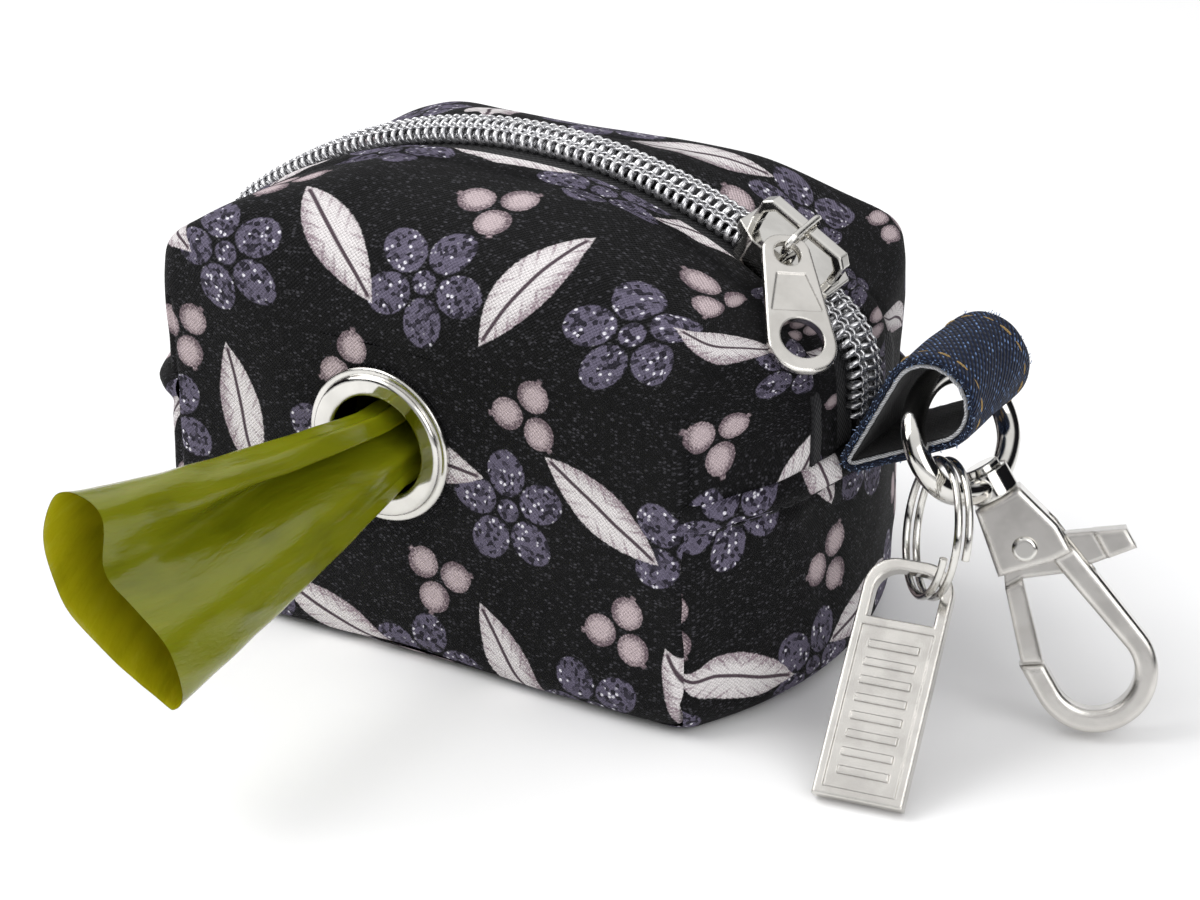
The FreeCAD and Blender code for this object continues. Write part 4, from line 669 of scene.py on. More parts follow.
    def blossoms(self, inking: Inking) -> tuple[Field, Field]:
        """Where the blossoms are, five ovals round a disc, and their lilac grey glitter with painted glints.

        Args:
            inking: what the motifs share.

        Returns:
            The share of ink and its colour.
        """
        recipe = inking.recipe
        pick, near = recipe.flakes(inking.both, self.glitter_pitch)
        dust = recipe.add("Mix", pick.ramp(*self.glitter_pick), linear(self.glitter_dark),
                          linear(self.glitter), data_type="RGBA")
        # Painted glints: a few flakes are painted near white, standing in for glitter catching the light.
        bright = pick.ramp(*self.painted_glint_pick) * near.ramp(*self.painted_glint_round)
        dust = recipe.add("Mix", bright, dust, linear(self.painted_glint), data_type="RGBA")
        first, second = self.motif(inking, self.blossom_place, self.blossom_seed)
        out, aside = self.fan(first, second, self.petal_count)
        uneven = inking.ragged * self.petal_ragged
        petal = length_of((out - self.petal_out) / self.petal_long, aside / self.petal_wide) + uneven
        heart = length_of(first, second) / self.heart + uneven
        shape = petal.ramp(*self.petal_edge).into("Math", heart.ramp(*self.heart_edge), operation="MAXIMUM")
        return shape, dust

    def leaves(self, inking: Inking) -> tuple[Field, Field]:
        """Where the leaves are, each between two parabolas, and their stippled white with ribs and a vein.

        Args:
            inking: what the motifs share.

        Returns:
            The share of ink and its colour.
        """
        first, second = self.motif(inking, self.leaf_place, self.leaf_seed)
        share = first / self.leaf_half
        onward = first.into("Math", operation="ABSOLUTE")
        aside = second.into("Math", operation="ABSOLUTE")
        edge = aside / self.leaf_wide + share * share + inking.ragged * self.leaf_ragged
        ribs = wave(onward * self.rib_slant[0] - aside * self.rib_slant[1], self.rib_pitch)
        rim_share, rib_share, side_share = self.leaf_shares
        shade = (edge.ramp(*self.leaf_rim) * rim_share + ribs.ramp(*self.rib_tops) * rib_share
                 + second.ramp(0.0, self.leaf_wide) * side_share)
        tone = (shade * inking.stipple * self.leaf_dots).ramp(*self.leaf_tones)
        pale = inking.recipe.add("Mix", tone, linear(self.leaf), linear(self.leaf_shade), data_type="RGBA")
        vein = aside.ramp(*self.vein_edge) * edge.ramp(*self.vein_end)
        pale = inking.recipe.add("Mix", vein, pale, linear(self.vein), data_type="RGBA")
        return edge.ramp(*self.leaf_edge), pale

    def berries(self, inking: Inking) -> tuple[Field, Field]:
        """Where the berries are, three discs with short stalks, and their stippled dusty pink.

        Args:
            inking: what the motifs share.

        Returns:
            The share of ink and its colour.
        """
        first, second = self.motif(inking, self.berry_place, self.berry_seed)
        out, aside = self.fan(first, second, self.berry_count)
        ball = length_of(out - self.berry_out, aside) / self.berry_round
        ball = ball + inking.ragged * self.berry_ragged
        stalk = aside.into("Math", operation="ABSOLUTE").ramp(*self.stalk_edge) * out.ramp(*self.stalk_tip)
        stalk = stalk * out.ramp(self.berry_out, self.berry_out + self.stalk_start)
        rim_share, side_share = self.berry_shares
        shade = ball.ramp(*self.berry_rim) * rim_share + aside.ramp(-1.0, self.berry_round) * side_share
        tone = (shade * inking.stipple * self.berry_dots).ramp(*self.berry_tones)
        dusty = inking.recipe.add("Mix", tone, linear(self.berry), linear(self.berry_shade), data_type="RGBA")
        return ball.ramp(*self.berry_edge).into("Math", stalk, operation="MAXIMUM"), dusty

    def lay_out(self, recipe: Recipe) -> None:
        """Ground weave, then the three motifs laid over it.

        Args:
            recipe: the material's nodes.
        """
        along, across, both = recipe.cloth_places()
        ragged = (recipe.add("TexNoise", both, 1 / self.ragged_pitch, 3.0) - 0.5) * 0.5
        stipple = recipe.add("TexNoise", both, 1 / self.stipple_pitch, 1.0)
        wear_and_highlight = recipe.add("TexNoise", both, 1 / self.wear_pitch, 4.0)
        slub = recipe.add("TexNoise", both, 1 / self.slub_pitch, 3.0).ramp(*self.slub_ends)
        height = weave(along, across, both, self.thread_pitch)
        # Painted highlight: thread tops are painted paler, more so on slubs and where the random wear noise is
        # high.
        painted_top_highlight = height.ramp(*self.thread_tops) * slub * wear_and_highlight
        ground = recipe.add("Mix", painted_top_highlight, linear(self.ground), linear(self.thread), data_type="RGBA")
        stretched = recipe.add("CombineXYZ", along * self.fleck_stretch[0] + self.fleck_shift,
                               across * self.fleck_stretch[1])
        pick, near = recipe.flakes(stretched, self.fleck_pitch)
        flecks = pick.ramp(*self.fleck_pick) * near.ramp(*self.fleck_round)
        ground = recipe.add("Mix", flecks, ground, linear(self.slub), data_type="RGBA")

        inking = Inking(recipe, along, across, both, ragged, stipple)
        blossom, dust = self.blossoms(inking)
        leaf, pale = self.leaves(inking)
        berry, dusty = self.berries(inking)
        colour = ground
        for shape, ink in ((blossom, dust), (leaf, pale), (berry, dusty)):
            colour = recipe.add("Mix", shape, colour, ink, data_type="RGBA")
        printed = blossom.into("Math", leaf, operation="MAXIMUM").into("Math", berry, operation="MAXIMUM")
        # Painted shade: the gaps between threads are painted back towards the near black ground, print
        # included.
        painted_gap_shade = height.ramp(*self.thread_gaps) * self.painted_gap_shade_share
        rough = wear_and_highlight * printed.between(1.0, 0.0) + printed * self.ink_gloss
        rise = height + slub * self.slub_rise + printed * self.ink_rise
        colour = recipe.add("Mix", painted_gap_shade, colour, ground, data_type="RGBA")
        recipe.surface(colour, rough.between(*self.roughness), rise, self.weave_depth, Specular_IOR_Level=0.18)


# Plain-woven cloth of one dye: matt, with a faint grid of threads that catch light on their tops. The threads
# are drawn coarser than real ones so that they show.
@dataclass(frozen=True)
class PlainCloth(Finish):
    """Plain-woven cloth of one dye, lighter where its threads stand up."""

    deep: str = "#0a0a0b"
    raised: str = "#232326"
    thread_pitch: float = 0.6
    weave_depth: float = 0.12
    wear_pitch: float = 6.0
    roughness: Pair = (0.7, 0.95)

    def lay_out(self, recipe: Recipe) -> None:
        """Weave in colour and in height.

        Args:
            recipe: the material's nodes.
        """
        along, across, both = recipe.cloth_places()
        height = weave(along, across, both, self.thread_pitch)
        wear_and_highlight = recipe.add("TexNoise", both, 1 / self.wear_pitch, 3.0)
        tone = recipe.add("Mix", height * wear_and_highlight, linear(self.deep), linear(self.raised), data_type="RGBA")
        recipe.surface(tone, wear_and_highlight.between(*self.roughness), height, self.weave_depth,
                       Specular_IOR_Level=0.3, Sheen_Weight=0.1)


# Indigo denim: dark blue slanting ribs with pale flecks where the white weft shows and the dye is worn off.
# The grooves between the ribs are painted darker: painted shade.
@dataclass(frozen=True)
class IndigoTwill(Finish):
    """Indigo denim: slanting twill ribs, each broken into short floats, with paler flecks."""

    # Colour of the grooves between ribs, darker as painted shade.
    deep: str = "#030817"
    dyed: str = "#102243"
    fleck: str = "#7f9fd4"
    rib_pitch: float = 0.85
    float_share: float = 1.7
    slant: float = 0.8
    wobble_pitch: float = 1.2
    wobble: float = 2.5
    twill_depth: float = 0.3
    wear_pitch: float = 3.5
    wear_tops: Pair = (0.5, 0.8)
    fleck_pitch: float = 0.5
    fleck_pick: Pair = (0.55, 0.95)
    fleck_tops: Pair = (0.45, 0.9)
    fleck_shares: Pair = (0.75, 0.35)
    roughness: Pair = (0.7, 0.92)

    def lay_out(self, recipe: Recipe) -> None:
        """Ribs in height, with painted shade darkening the grooves between them, then the flecks.

        Args:
            recipe: the material's nodes.
        """
        along, across, both = recipe.cloth_places()
        wobble = recipe.add("TexNoise", both, 1 / self.wobble_pitch) * self.wobble
        rib = wave(along + across * self.slant, self.rib_pitch, wobble).between(0.5, 1.0)
        float_pitch = self.rib_pitch * self.float_share
        floats = wave(across - along * self.slant, float_pitch, wobble).between(0.5, 1.0)
        height = rib * floats.between(0.5, 1.0)
        wear_and_highlight = recipe.add("TexNoise", both, 1 / self.wear_pitch, 4.0)
        pick, _ = recipe.flakes(both, self.fleck_pitch)
        weft_share, wear_share = self.fleck_shares
        bare = pick.ramp(*self.fleck_pick) * weft_share + wear_and_highlight.ramp(*self.wear_tops) * wear_share
        pale = height.ramp(*self.fleck_tops) * bare
        # Painted shade: the low parts of the twill take the darker groove colour.
        dyed = recipe.add("Mix", height, linear(self.deep), linear(self.dyed), data_type="RGBA")
        tone = recipe.add("Mix", pale, dyed, linear(self.fleck), data_type="RGBA")
        recipe.surface(tone, wear_and_highlight.between(*self.roughness), height, self.twill_depth,
                       Specular_IOR_Level=0.2, Sheen_Weight=0.06)


# Spun sewing thread: soft slanting stripes of light and shade along each stitch.
@dataclass(frozen=True)
class SpunThread(Finish):
    """Sewing thread: two plies twisted together."""

    deep: str = "#8a6a35"
    bright: str = "#d9b878"
    ply_pitch: float = 0.55
    ply_slant: float = 1.4
    ply_depth: float = 0.06
    roughness: Pair = (0.5, 0.75)

    def lay_out(self, recipe: Recipe) -> None:
        """Slanting plies in colour and in height.

        Args:
            recipe: the material's nodes.
        """
        along, across, _ = recipe.cloth_places()
        ply = wave(along + across * self.ply_slant, self.ply_pitch).between(0.5, 1.0)
        tone = recipe.add("Mix", ply, linear(self.deep), linear(self.bright), data_type="RGBA")
        recipe.surface(tone, ply.between(*self.roughness), ply, self.ply_depth)


# Nickel plate: bright, mirroring the white tent and its dark flags, with faint cloudy wear, fine lines and a
# line of light along each rounded edge.
@dataclass(frozen=True)
class PlatedMetal(Finish):
    """Nickel plate over cast or drawn metal, with faint polishing lines and cloudy wear."""

    bright: str = "#dbd9d4"
    dull: str = "#cdcbc6"
    smooth: float = 0.05
    rough: float = 0.11
    cloud_pitch: float = 5.0
    cloud_tones: Pair = (0.3, 0.65)
    line_pitch: float = 0.9
    line_stretch: Triple = (1.0, 6.0, 1.0)
    line_depth: float = 0.0012
    edge_round: float = 0.4

    def lay_out(self, recipe: Recipe) -> None:
        """Cloudy tone, stretched lines in roughness and height, edges rounded by tumbling.

        Args:
            recipe: the material's nodes.
        """
        clouds = recipe.add("TexNoise", recipe.solid_places(), 1 / self.cloud_pitch, 3.0)
        lines = recipe.add("TexNoise", recipe.solid_places(self.line_stretch), 1 / self.line_pitch, 4.0)
        rounded = recipe.add("Bevel", self.edge_round * MM)
        recipe.shade(
            Base_Color=recipe.add("Mix", clouds.ramp(*self.cloud_tones), linear(self.dull),
                                  linear(self.bright), data_type="RGBA"),
            Roughness=(clouds * 0.5 + lines * 0.5).between(self.smooth, self.rough),
            Normal=recipe.add("Bump", Height=lines, Distance=self.line_depth * MM, Normal=rounded),
            Metallic=1.0)


# Silvered nylon: a bright line along each turn of the filament, softer than metal's.
@dataclass(frozen=True)
class MetallisedCoil(Finish):
    """Silvered nylon monofilament of the zip chain."""

    bright: str = "#e3e3e4"
    dull: str = "#a9a9ad"
    drift_pitch: float = 1.1
    drift_depth: float = 0.02
    tones: Pair = (0.25, 0.7)
    roughness: Pair = (0.16, 0.36)

    def lay_out(self, recipe: Recipe) -> None:
        """Tone and gloss drift along the filament.

        Args:
            recipe: the material's nodes.
        """
        drift = recipe.add("TexNoise", recipe.solid_places(), 1 / self.drift_pitch, 3.0)
        share = drift.ramp(*self.tones)
        tone = recipe.add("Mix", share, linear(self.dull), linear(self.bright), data_type="RGBA")
        recipe.surface(tone, drift.between(*self.roughness), drift, self.drift_depth, Metallic=0.85)


# Blown film: thin and soft, with long glossy streaks along the pull and a little light coming through. Its
# colour is painted darker in the crinkles' hollows and paler on their crests: painted shade and painted
# highlight.
@dataclass(frozen=True)
class BlownFilm(Finish):
    """Thin soft plastic film, crinkled along the pull, letting some light through."""

    # Tones of the film, from painted shade in the crinkles' hollows to painted highlight on their crests.
    deep: str = "#5f6308"
    main: str = "#75790b"
    wear_and_highlight: str = "#85861c"
    crease_pitch: float = 2.6
    crease_stretch: float = 0.22
    fine_pitch: float = 1.1
    fine_stretch: float = 0.35
    broad_pitch: float = 11.0
    tones: Pair = (0.22, 0.55)
    crest_highlight_tops: Pair = (0.58, 0.8)
    crest_highlight_share: float = 0.6
    crease_edge: Pair = (0.16, 0.0)
    fine_edge: Pair = (0.12, 0.0)
    ridge_shares: Pair = (0.25, 0.1)
    crinkle_depth: float = 0.12
    roughness: Pair = (0.14, 0.32)

    def lay_out(self, recipe: Recipe) -> None:
        """Long crinkles in height, with painted shade in their hollows and painted highlight on their crests.

        Args:
            recipe: the material's nodes.
        """
        along, across, both = recipe.cloth_places()
        stretched = recipe.add("CombineXYZ", along * self.crease_stretch, across)
        crease = recipe.add("TexNoise", stretched, 1 / self.crease_pitch, 3.0)
        finer = recipe.add("CombineXYZ", along * self.fine_stretch, across)
        fine = recipe.add("TexNoise", finer, 1 / self.fine_pitch, 3.0)
        broad = recipe.add("TexNoise", both, 1 / self.broad_pitch, 2.0)
        # Painted shade: the colour follows the crinkles' height, darker in their hollows.
        tone = (crease * 0.5 + broad * 0.5).ramp(*self.tones)
        colour = recipe.add("Mix", tone, linear(self.deep), linear(self.main), data_type="RGBA")
        # Painted highlight on the crinkles' crests.
        wear_and_highlight = crease.ramp(*self.crest_highlight_tops) * self.crest_highlight_share
        long_ridges = (crease - 0.5).into("Math", operation="ABSOLUTE").ramp(*self.crease_edge)
        fine_ridges = (fine - 0.5).into("Math", operation="ABSOLUTE").ramp(*self.fine_edge)
        ridges = long_ridges * self.ridge_shares[0] + fine_ridges * self.ridge_shares[1]
        colour = recipe.add("Mix", wear_and_highlight, colour, linear(self.wear_and_highlight), data_type="RGBA")
        recipe.surface(colour, broad.between(*self.roughness), crease * broad + ridges, self.crinkle_depth,
                       Specular_IOR_Level=0.5, Subsurface_Weight=0.15, Subsurface_Scale=0.002)


# Wound grey board: matt, with short fibre flecks.
@dataclass(frozen=True)
class WoundCard(Finish):
    """Grey-brown board wound into a tube."""

    deep: str = "#7c6248"
    pale: str = "#b3977a"
    fibre_pitch: float = 1.5
    fibre_stretch: Triple = (1.0, 3.0, 3.0)
    fibre_depth: float = 0.08
    roughness: Pair = (0.8, 0.95)

    def lay_out(self, recipe: Recipe) -> None:
        """Fibre flecks in colour and in height.

        Args:
            recipe: the material's nodes.
        """
        fibre = recipe.add("TexNoise", recipe.solid_places(self.fibre_stretch), 1 / self.fibre_pitch, 4.0)
        tone = recipe.add("Mix", fibre, linear(self.deep), linear(self.pale), data_type="RGBA")
        recipe.surface(tone, fibre.between(*self.roughness), fibre, self.fibre_depth)


PRINT = PrintedCotton("printed plain-woven cotton")
LINING = PlainCloth("black plain-woven lining cotton")
TAPE = PlainCloth("black woven polyester zip tape", deep="#08080a", raised="#2a2a2e", thread_pitch=0.9)
DENIM = IndigoTwill("indigo twill denim")
GOLD_THREAD = SpunThread("tan twisted sewing thread")
BLACK_THREAD = SpunThread("black twisted sewing thread", deep="#060607", bright="#2c2c30")
PALE_THREAD = SpunThread("frayed pale indigo yarn", deep="#3d5784", bright="#a9bddd")
SILVER_THREAD = SpunThread("silvered edging yarn", deep="#77787c", bright="#cfd0d2")
MIRROR = PlatedMetal("polished nickel plate")
SATIN = PlatedMetal("satin nickel plate", bright="#d9d6d1", dull="#cbc8c3", smooth=0.15, rough=0.24,
                    line_stretch=(1.0, 8.0, 1.0), line_depth=0.002)
TUMBLED = PlatedMetal("tumbled nickel plate", bright="#d9d6d1", dull="#cbc8c3", smooth=0.13, rough=0.21,
                      line_stretch=(1.0, 8.0, 1.0), line_depth=0.002, edge_round=0.9)
SPRING = PlatedMetal("drawn spring steel", bright="#b4b3b1", dull="#8d8c8a", smooth=0.25, rough=0.4)
COIL = MetallisedCoil("silvered nylon filament")
FILM = BlownFilm("olive blown film")
# The inner face is the same film painted brighter: a painted glow standing in for light coming through it.
FILM_INSIDE_PAINTED_GLOW = BlownFilm("olive blown film, inner face with painted glow", deep="#87830a", main="#a29c10", wear_and_highlight="#b7b132")
CARD = WoundCard("wound grey board")

METAL_NODES: dict[str, Finish] = {
    "zip_slider": MIRROR, "pull_link": MIRROR, "pull_tab": SATIN, "eyelet": MIRROR, "eyelet_washer": MIRROR,
    "swivel_ring": MIRROR, "swivel_pin": MIRROR, "clasp_body": TUMBLED, "clasp_trigger": TUMBLED,
    "trigger_rivet": MIRROR, "trigger_spring": SPRING, "split_ring": MIRROR, "tag": SATIN,
}


# The pouch's form


@dataclass(frozen=True)
class PouchForm:
    """The pouch as the common space of three crossed profiles, softened where they meet.

    Seen from the front and from an end it is a rounded arch, and seen from above a strip whose ends are arcs.
    """

    half_width: float = 44.0
    end_bulge: float = 10.0
    half_depth: float = 33.0
    height: float = 72.0
    crown_radius: float = 80.0
    end_corner: float = 12.0
    roof_radius: float = 55.0
    shoulder: float = 18.0
    base_round: float = 5.0
    softness: float = 2.0
    lean_share: float = 0.3

    @property
    def half_length(self) -> float:
        """Middle to the swell of an end."""
        return self.half_width + self.end_bulge

    @property
    def end_radius(self) -> float:
        """Radius of the arc of an end, seen from above."""
        return (self.half_depth ** 2 + self.end_bulge ** 2) / (2 * self.end_bulge)

    def corner_centre(self, half: float, corner: float, crown: float) -> Pair:
        """Middle of an arch's rounded corner: its distance aside and its height."""
        aside = half - corner
        return aside, self.height - crown + math.sqrt((crown - corner) ** 2 - aside ** 2)

    def arch(self, aside: np.ndarray, up: np.ndarray, half: float, corner: float, crown: float,
             lean_share: float) -> np.ndarray:
        """Distance outside an arch with rounded corners, a crowned top and sides that may lean out.

        Args:
            aside: distance from the middle.
            up: height.
            half: middle to the arch's side.
            corner: radius of its corners.
            crown: radius of its top.
            lean_share: lean of its sides for each mm down.

        Returns:
            One distance per place, negative within.
        """
        centre_aside, centre_up = self.corner_centre(half, corner, crown)
        out, rise = aside - centre_aside, up - centre_up
        crown_up = self.height - crown
        crowned = np.hypot(aside, up - crown_up) - crown
        rounded = np.hypot(out, rise) - corner
        upright = aside - half + lean_share * np.minimum(rise, 0)
        over = centre_aside * rise - (centre_up - crown_up) * out > 0
        return np.where(rise < 0, upright, np.where(over, crowned, rounded))

    def end_reach(self, across: np.ndarray) -> np.ndarray:
        """Distance from the middle to an end's surface at a place across it."""
        return self.half_length - self.end_radius + np.sqrt(self.end_radius ** 2 - across ** 2)

    def outside(self, points: np.ndarray) -> np.ndarray:
        """Distance of points outside the form, negative within.

        Args:
            points: places in mm.

        Returns:
            One distance per place.
        """
        along, across, up = np.abs(points[..., 0]), np.abs(points[..., 1]), points[..., 2]
        end = np.hypot(along - (self.half_length - self.end_radius), across) - self.end_radius
        roof = self.arch(across, up, self.half_depth, self.shoulder, self.roof_radius, 0.0)
        crown = self.arch(along, up, self.half_length, self.end_corner, self.crown_radius, self.lean_share)
        walls = smooth_max(smooth_max(roof, end, self.softness), crown, self.softness)
        rounding = self.base_round
        lower = np.stack([np.maximum(walls + rounding, 0), np.maximum(rounding - up, 0)])
        inner = np.minimum(np.maximum(walls + rounding, rounding - up), 0)
        return np.hypot(lower[0], lower[1]) + inner - rounding

    def outward(self, points: np.ndarray) -> np.ndarray:
        """Direction square to the form's surface.

        Args:
            points: places in mm.

        Returns:
            One direction per place.
        """
        step = 0.05
        shifts = np.eye(3) * step
        slopes = [self.outside(points + shift) - self.outside(points - shift) for shift in shifts]
        return unit(np.stack(slopes, axis=-1))

    def settled(self, points: np.ndarray, depth: float = 0.0,
                hold_across: np.ndarray | float = 0.0) -> np.ndarray:
        """Points moved onto the form's surface along its slope.

        Args:
            points: places near the surface.
            depth: how far inside the surface they end.
            hold_across: share of the move across the pouch that is held back, from zero to one.

        Returns:
            The settled points.
        """
        rounds = 14
        moved = points.astype(float).copy()
        for _ in range(rounds):
            way = self.outward(moved)
            way[..., 1] *= 1 - hold_across
            way = unit(way)
            moved -= way * (self.outside(moved) + depth)[..., None]
        return moved


FORM = PouchForm()


@dataclass(frozen=True)
class ZipPath:
    """The zip's line in the pouch's middle plane: up one end, round the corner, over the crown and down."""

    form: PouchForm = FORM
    fine_steps: int = 400

    def line(self, count: int, foot: float, out: float = 0.0) -> tuple[np.ndarray, np.ndarray]:
        """Evenly spaced points of the line and the outward direction at each.

        Args:
            count: number of points.
            foot: height of both ends.
            out: distance outside the line.

        Returns:
            Points and directions, from the loop's end to the other.
        """
        form = self.form
        centre_aside, centre_up = form.corner_centre(form.half_length, form.end_corner, form.crown_radius)
        crown_up = form.height - form.crown_radius
        crown_start = math.atan2(centre_up - crown_up, centre_aside)
        pieces = (centre_up - foot, form.end_corner * crown_start,
                  form.crown_radius * (math.pi / 2 - crown_start))
        marks = np.cumsum((0.0, *pieces))
        walked = np.linspace(0, 2 * marks[-1], count)
        side = np.where(walked > marks[-1], -1.0, 1.0)
        near = np.minimum(walked, 2 * marks[-1] - walked)
        corner_turn = np.clip((near - marks[1]) / form.end_corner, 0, crown_start)
        crown_turn = np.maximum(near - marks[2], 0) / form.crown_radius
        turn = corner_turn + crown_turn
        upright = near < marks[1]
        crowned = near > marks[2]
        aside = np.where(crowned, form.crown_radius * np.cos(turn),
                         centre_aside + form.end_corner * np.cos(turn))
        up = np.where(crowned, crown_up + form.crown_radius * np.sin(turn),
                      centre_up + form.end_corner * np.sin(turn))
        up = np.where(upright, foot + near, up)
        facing = np.stack([side * np.cos(turn), np.zeros(count), np.sin(turn)], axis=-1)
        points = np.stack([side * aside, np.zeros(count), up], axis=-1)
        return points + facing * out, facing


ZIP = ZipPath()


@dataclass(frozen=True)
class Stitching:
    """A row of stitches: short threads that rise out of the cloth and dive back."""

    length: float = 2.3
    gap: float = 0.8
    radius: float = 0.2
    rise: float = 0.18
    sides: int = 6
    steps: int = 7

    def along(self, path: np.ndarray, facing: np.ndarray) -> Sheet:
        """Stitches along a path.

        Args:
            path: points of the seam.
            facing: outward direction at each.

        Returns:
            All the stitches as one sheet.
        """
        walked = lengths_along(path[:, None], 0)[:, 0]
        starts = np.arange(0, walked[-1] - self.length, self.length + self.gap)
        shares = np.linspace(0, 1, self.steps)
        spots = starts[:, None] + shares * self.length
        place = np.stack([np.interp(spots, walked, path[:, axis]) for axis in range(3)], axis=-1)
        out = unit(np.stack([np.interp(spots, walked, facing[:, axis]) for axis in range(3)], axis=-1))
        lift = np.sin(shares * math.pi) ** 0.5 * (self.rise + self.radius) - self.radius
        place = place + out * lift[None, :, None]
        sheets = [tube(row, self.radius, self.sides) for row in place]
        return Sheet.joined(sheets)


@dataclass(frozen=True)
class ClothPanels:
    """The pouch's outer cloth: front, back and base panels, with hems, tucks, puckers and seams.

    Lengths are mm; a pair is the two places between which a change fades in or out.
    """

    form: PouchForm = FORM
    seam_height: float = 36.5
    zip_edge: float = 6.4
    face_top: float = 50.0
    face_columns: int = 104
    low_rows: int = 40
    high_rows: int = 16
    ribbon_rows: int = 44
    base_rows: int = 44
    end_walk: float = 19.9
    lining_depth: float = 1.9
    panel_weld: float = 0.02
    front_seed: int = 5
    back_seed: int = 17
    base_seed: int = 71
    eyelet_place: Pair = (-6.0, 34.9)
    eyelet_hole: float = 9.6
    eyelet_calm: Pair = (11.0, 20.0)
    eyelet_press: float = 0.25
    eyelet_press_reach: Pair = (16.0, 11.5)
    pucker_height: float = 0.16
    pucker_count: int = 13
    pucker_drift: float = 1.3
    pucker_drift_count: int = 3
    pucker_ring: float = 15.0
    pucker_spread: float = 4.5
    seam_depth: float = 0.9
    seam_spread: float = 1.0
    seam_fade: Pair = (60.0, 46.0)
    swell: float = 0.45
    swell_pitch: float = 34.0
    dimple_pitch: float = 11.0
    dimple_share: float = 0.35
    zip_calm: float = 5.0
    ripple_height: float = 0.22
    ripple_pitch: float = 8.2
    ripple_drift: float = 2.0
    ripple_drift_pitch: float = 41.0
    ripple_reach: float = 4.0
    ripple_start: float = 1.5
    tuck_place: float = 4.6
    tuck_depth: float = 0.4
    tuck_width: float = 0.55
    tuck_ridge: float = 0.3
    tuck_ridge_place: float = 1.4
    tuck_ridge_width: float = 1.1
    tuck_take: float = 5.0
    tuck_edge: float = 0.4
    hem_across: tuple[float, ...] = (0.3, 0.35, 0.1, -0.9, -3.0)
    hem_down: tuple[float, ...] = (0.35, 0.8, 1.15, 1.35, 1.4)
    turn_columns: int = 10
    back_print: Pair = (47.0, 13.0)
    base_print: Pair = (21.0, 9.0)
    base_crowding: float = 0.35
    base_hold: float = 0.9
    base_swell: Pair = (2.0, 9.0)
    floor_calm: Pair = (0.0, 8.0)
    floor_seam: Pair = (3.0, 8.0)
    edge_calm: float = 5.0
    fold_out: float = 2.3
    fold_middle: float = 1.5
    fold_width: float = 1.8
    fold_at_edge: float = 0.4
    fold_height: float = 4.2
    stitch_depth: float = 0.9
    stitch_width: float = 0.7
    stitch_sink: float = 0.4
    stitch_margin: float = 1.2
    end_ripple: float = 0.18
    end_ripple_pitch: float = 7.3
    end_ripple_start: float = 1.1
    end_ripple_place: float = 5.5
    end_ripple_width: float = 2.5
    roll_in: tuple[float, ...] = (0.55, 1.4, 2.3, 2.5)
    roll_up: tuple[float, ...] = (0.55, 0.75, 0.2, -2.0)

    def face_grid(self) -> np.ndarray:
        """Flat grid of the front face before it is settled, rows from the base up.

        Returns:
            Rows by columns by three.
        """
        lower = np.linspace(0, self.seam_height, self.low_rows + 1)
        upper = np.linspace(self.seam_height, self.face_top, self.high_rows + 1)[1:]
        up = np.concatenate([lower, upper])
        along = np.linspace(self.form.half_width, -self.form.half_width, self.face_columns + 1)
        grid_up, grid_along = np.meshgrid(up, along, indexing="ij")
        return np.stack([grid_along, np.full_like(grid_up, -self.form.half_depth), grid_up], axis=-1)

    def upper_edge(self, face: np.ndarray) -> np.ndarray:
        """The face's upper edge, from the seam up one side, across the top and down to the other seam.

        Args:
            face: values over the face, rows from the base up.

        Returns:
            The values along the edge.
        """
        right = face[self.low_rows:, 0]
        top = face[-1, 1:]
        left = face[self.low_rows:-1, -1][::-1]
        return np.concatenate([right, top, left])

    def ribbon_grid(self) -> tuple[np.ndarray, np.ndarray]:
        """Grid from the face's upper edge over the shoulders to the zip edge.

        Each column is a curve with three control points: on the face, straight above it and at the zip.

        Returns:
            The grid, and each row's share of the way.
        """
        inner = self.upper_edge(self.face_grid())
        line, _ = ZIP.line(ZIP.fine_steps, self.seam_height)
        walked = lengths_along(line[:, None], 0)[:, 0]
        far_end = walked[-1] - self.end_walk
        marks = np.concatenate([np.linspace(0, self.end_walk, self.high_rows + 1),
                                np.linspace(self.end_walk, far_end, self.face_columns + 1)[1:],
                                np.linspace(far_end, walked[-1], self.high_rows + 1)[1:]])
        outer = np.stack([np.interp(marks, walked, line[:, axis]) for axis in range(3)], axis=-1)
        outer[:, 1] = -self.zip_edge
        bend = outer.copy()
        bend[:, 1] = -self.form.half_depth
        share = np.linspace(0, 1, self.ribbon_rows + 1)[:, None, None]
        grid = (1 - share) ** 2 * inner + 2 * share * (1 - share) * bend + share ** 2 * outer
        return grid, share[..., 0]

    def swelled(self, points: np.ndarray, seed: int) -> np.ndarray:
        """Height of the loose swell of the cloth, with smaller dimples on it.

        Args:
            points: places in mm.
            seed: picks the swell.

        Returns:
            One height per place.
        """
        flat = points.reshape(-1, 3)
        swell = waves(flat, self.swell_pitch, seed) * self.swell
        swell = swell + waves(flat, self.dimple_pitch, seed + 1) * self.swell * self.dimple_share
        return swell.reshape(points.shape[:-1])

    def from_eyelet(self, points: np.ndarray) -> tuple[np.ndarray, np.ndarray]:
        """Distance from the eyelet's middle, and the angle round it.

        Args:
            points: places in mm.

        Returns:
            Distances and angles.
        """
        first = points[..., 0] - self.eyelet_place[0]
        second = points[..., 2] - self.eyelet_place[1]
        return np.hypot(first, second), np.arctan2(second, first)

    def holed(self, sheet: Sheet) -> Sheet:
        """A sheet without the faces inside the eyelet's hole."""
        middle = sheet.points[sheet.faces].mean(axis=1)
        return sheet.without(self.from_eyelet(middle)[0] < self.eyelet_hole)

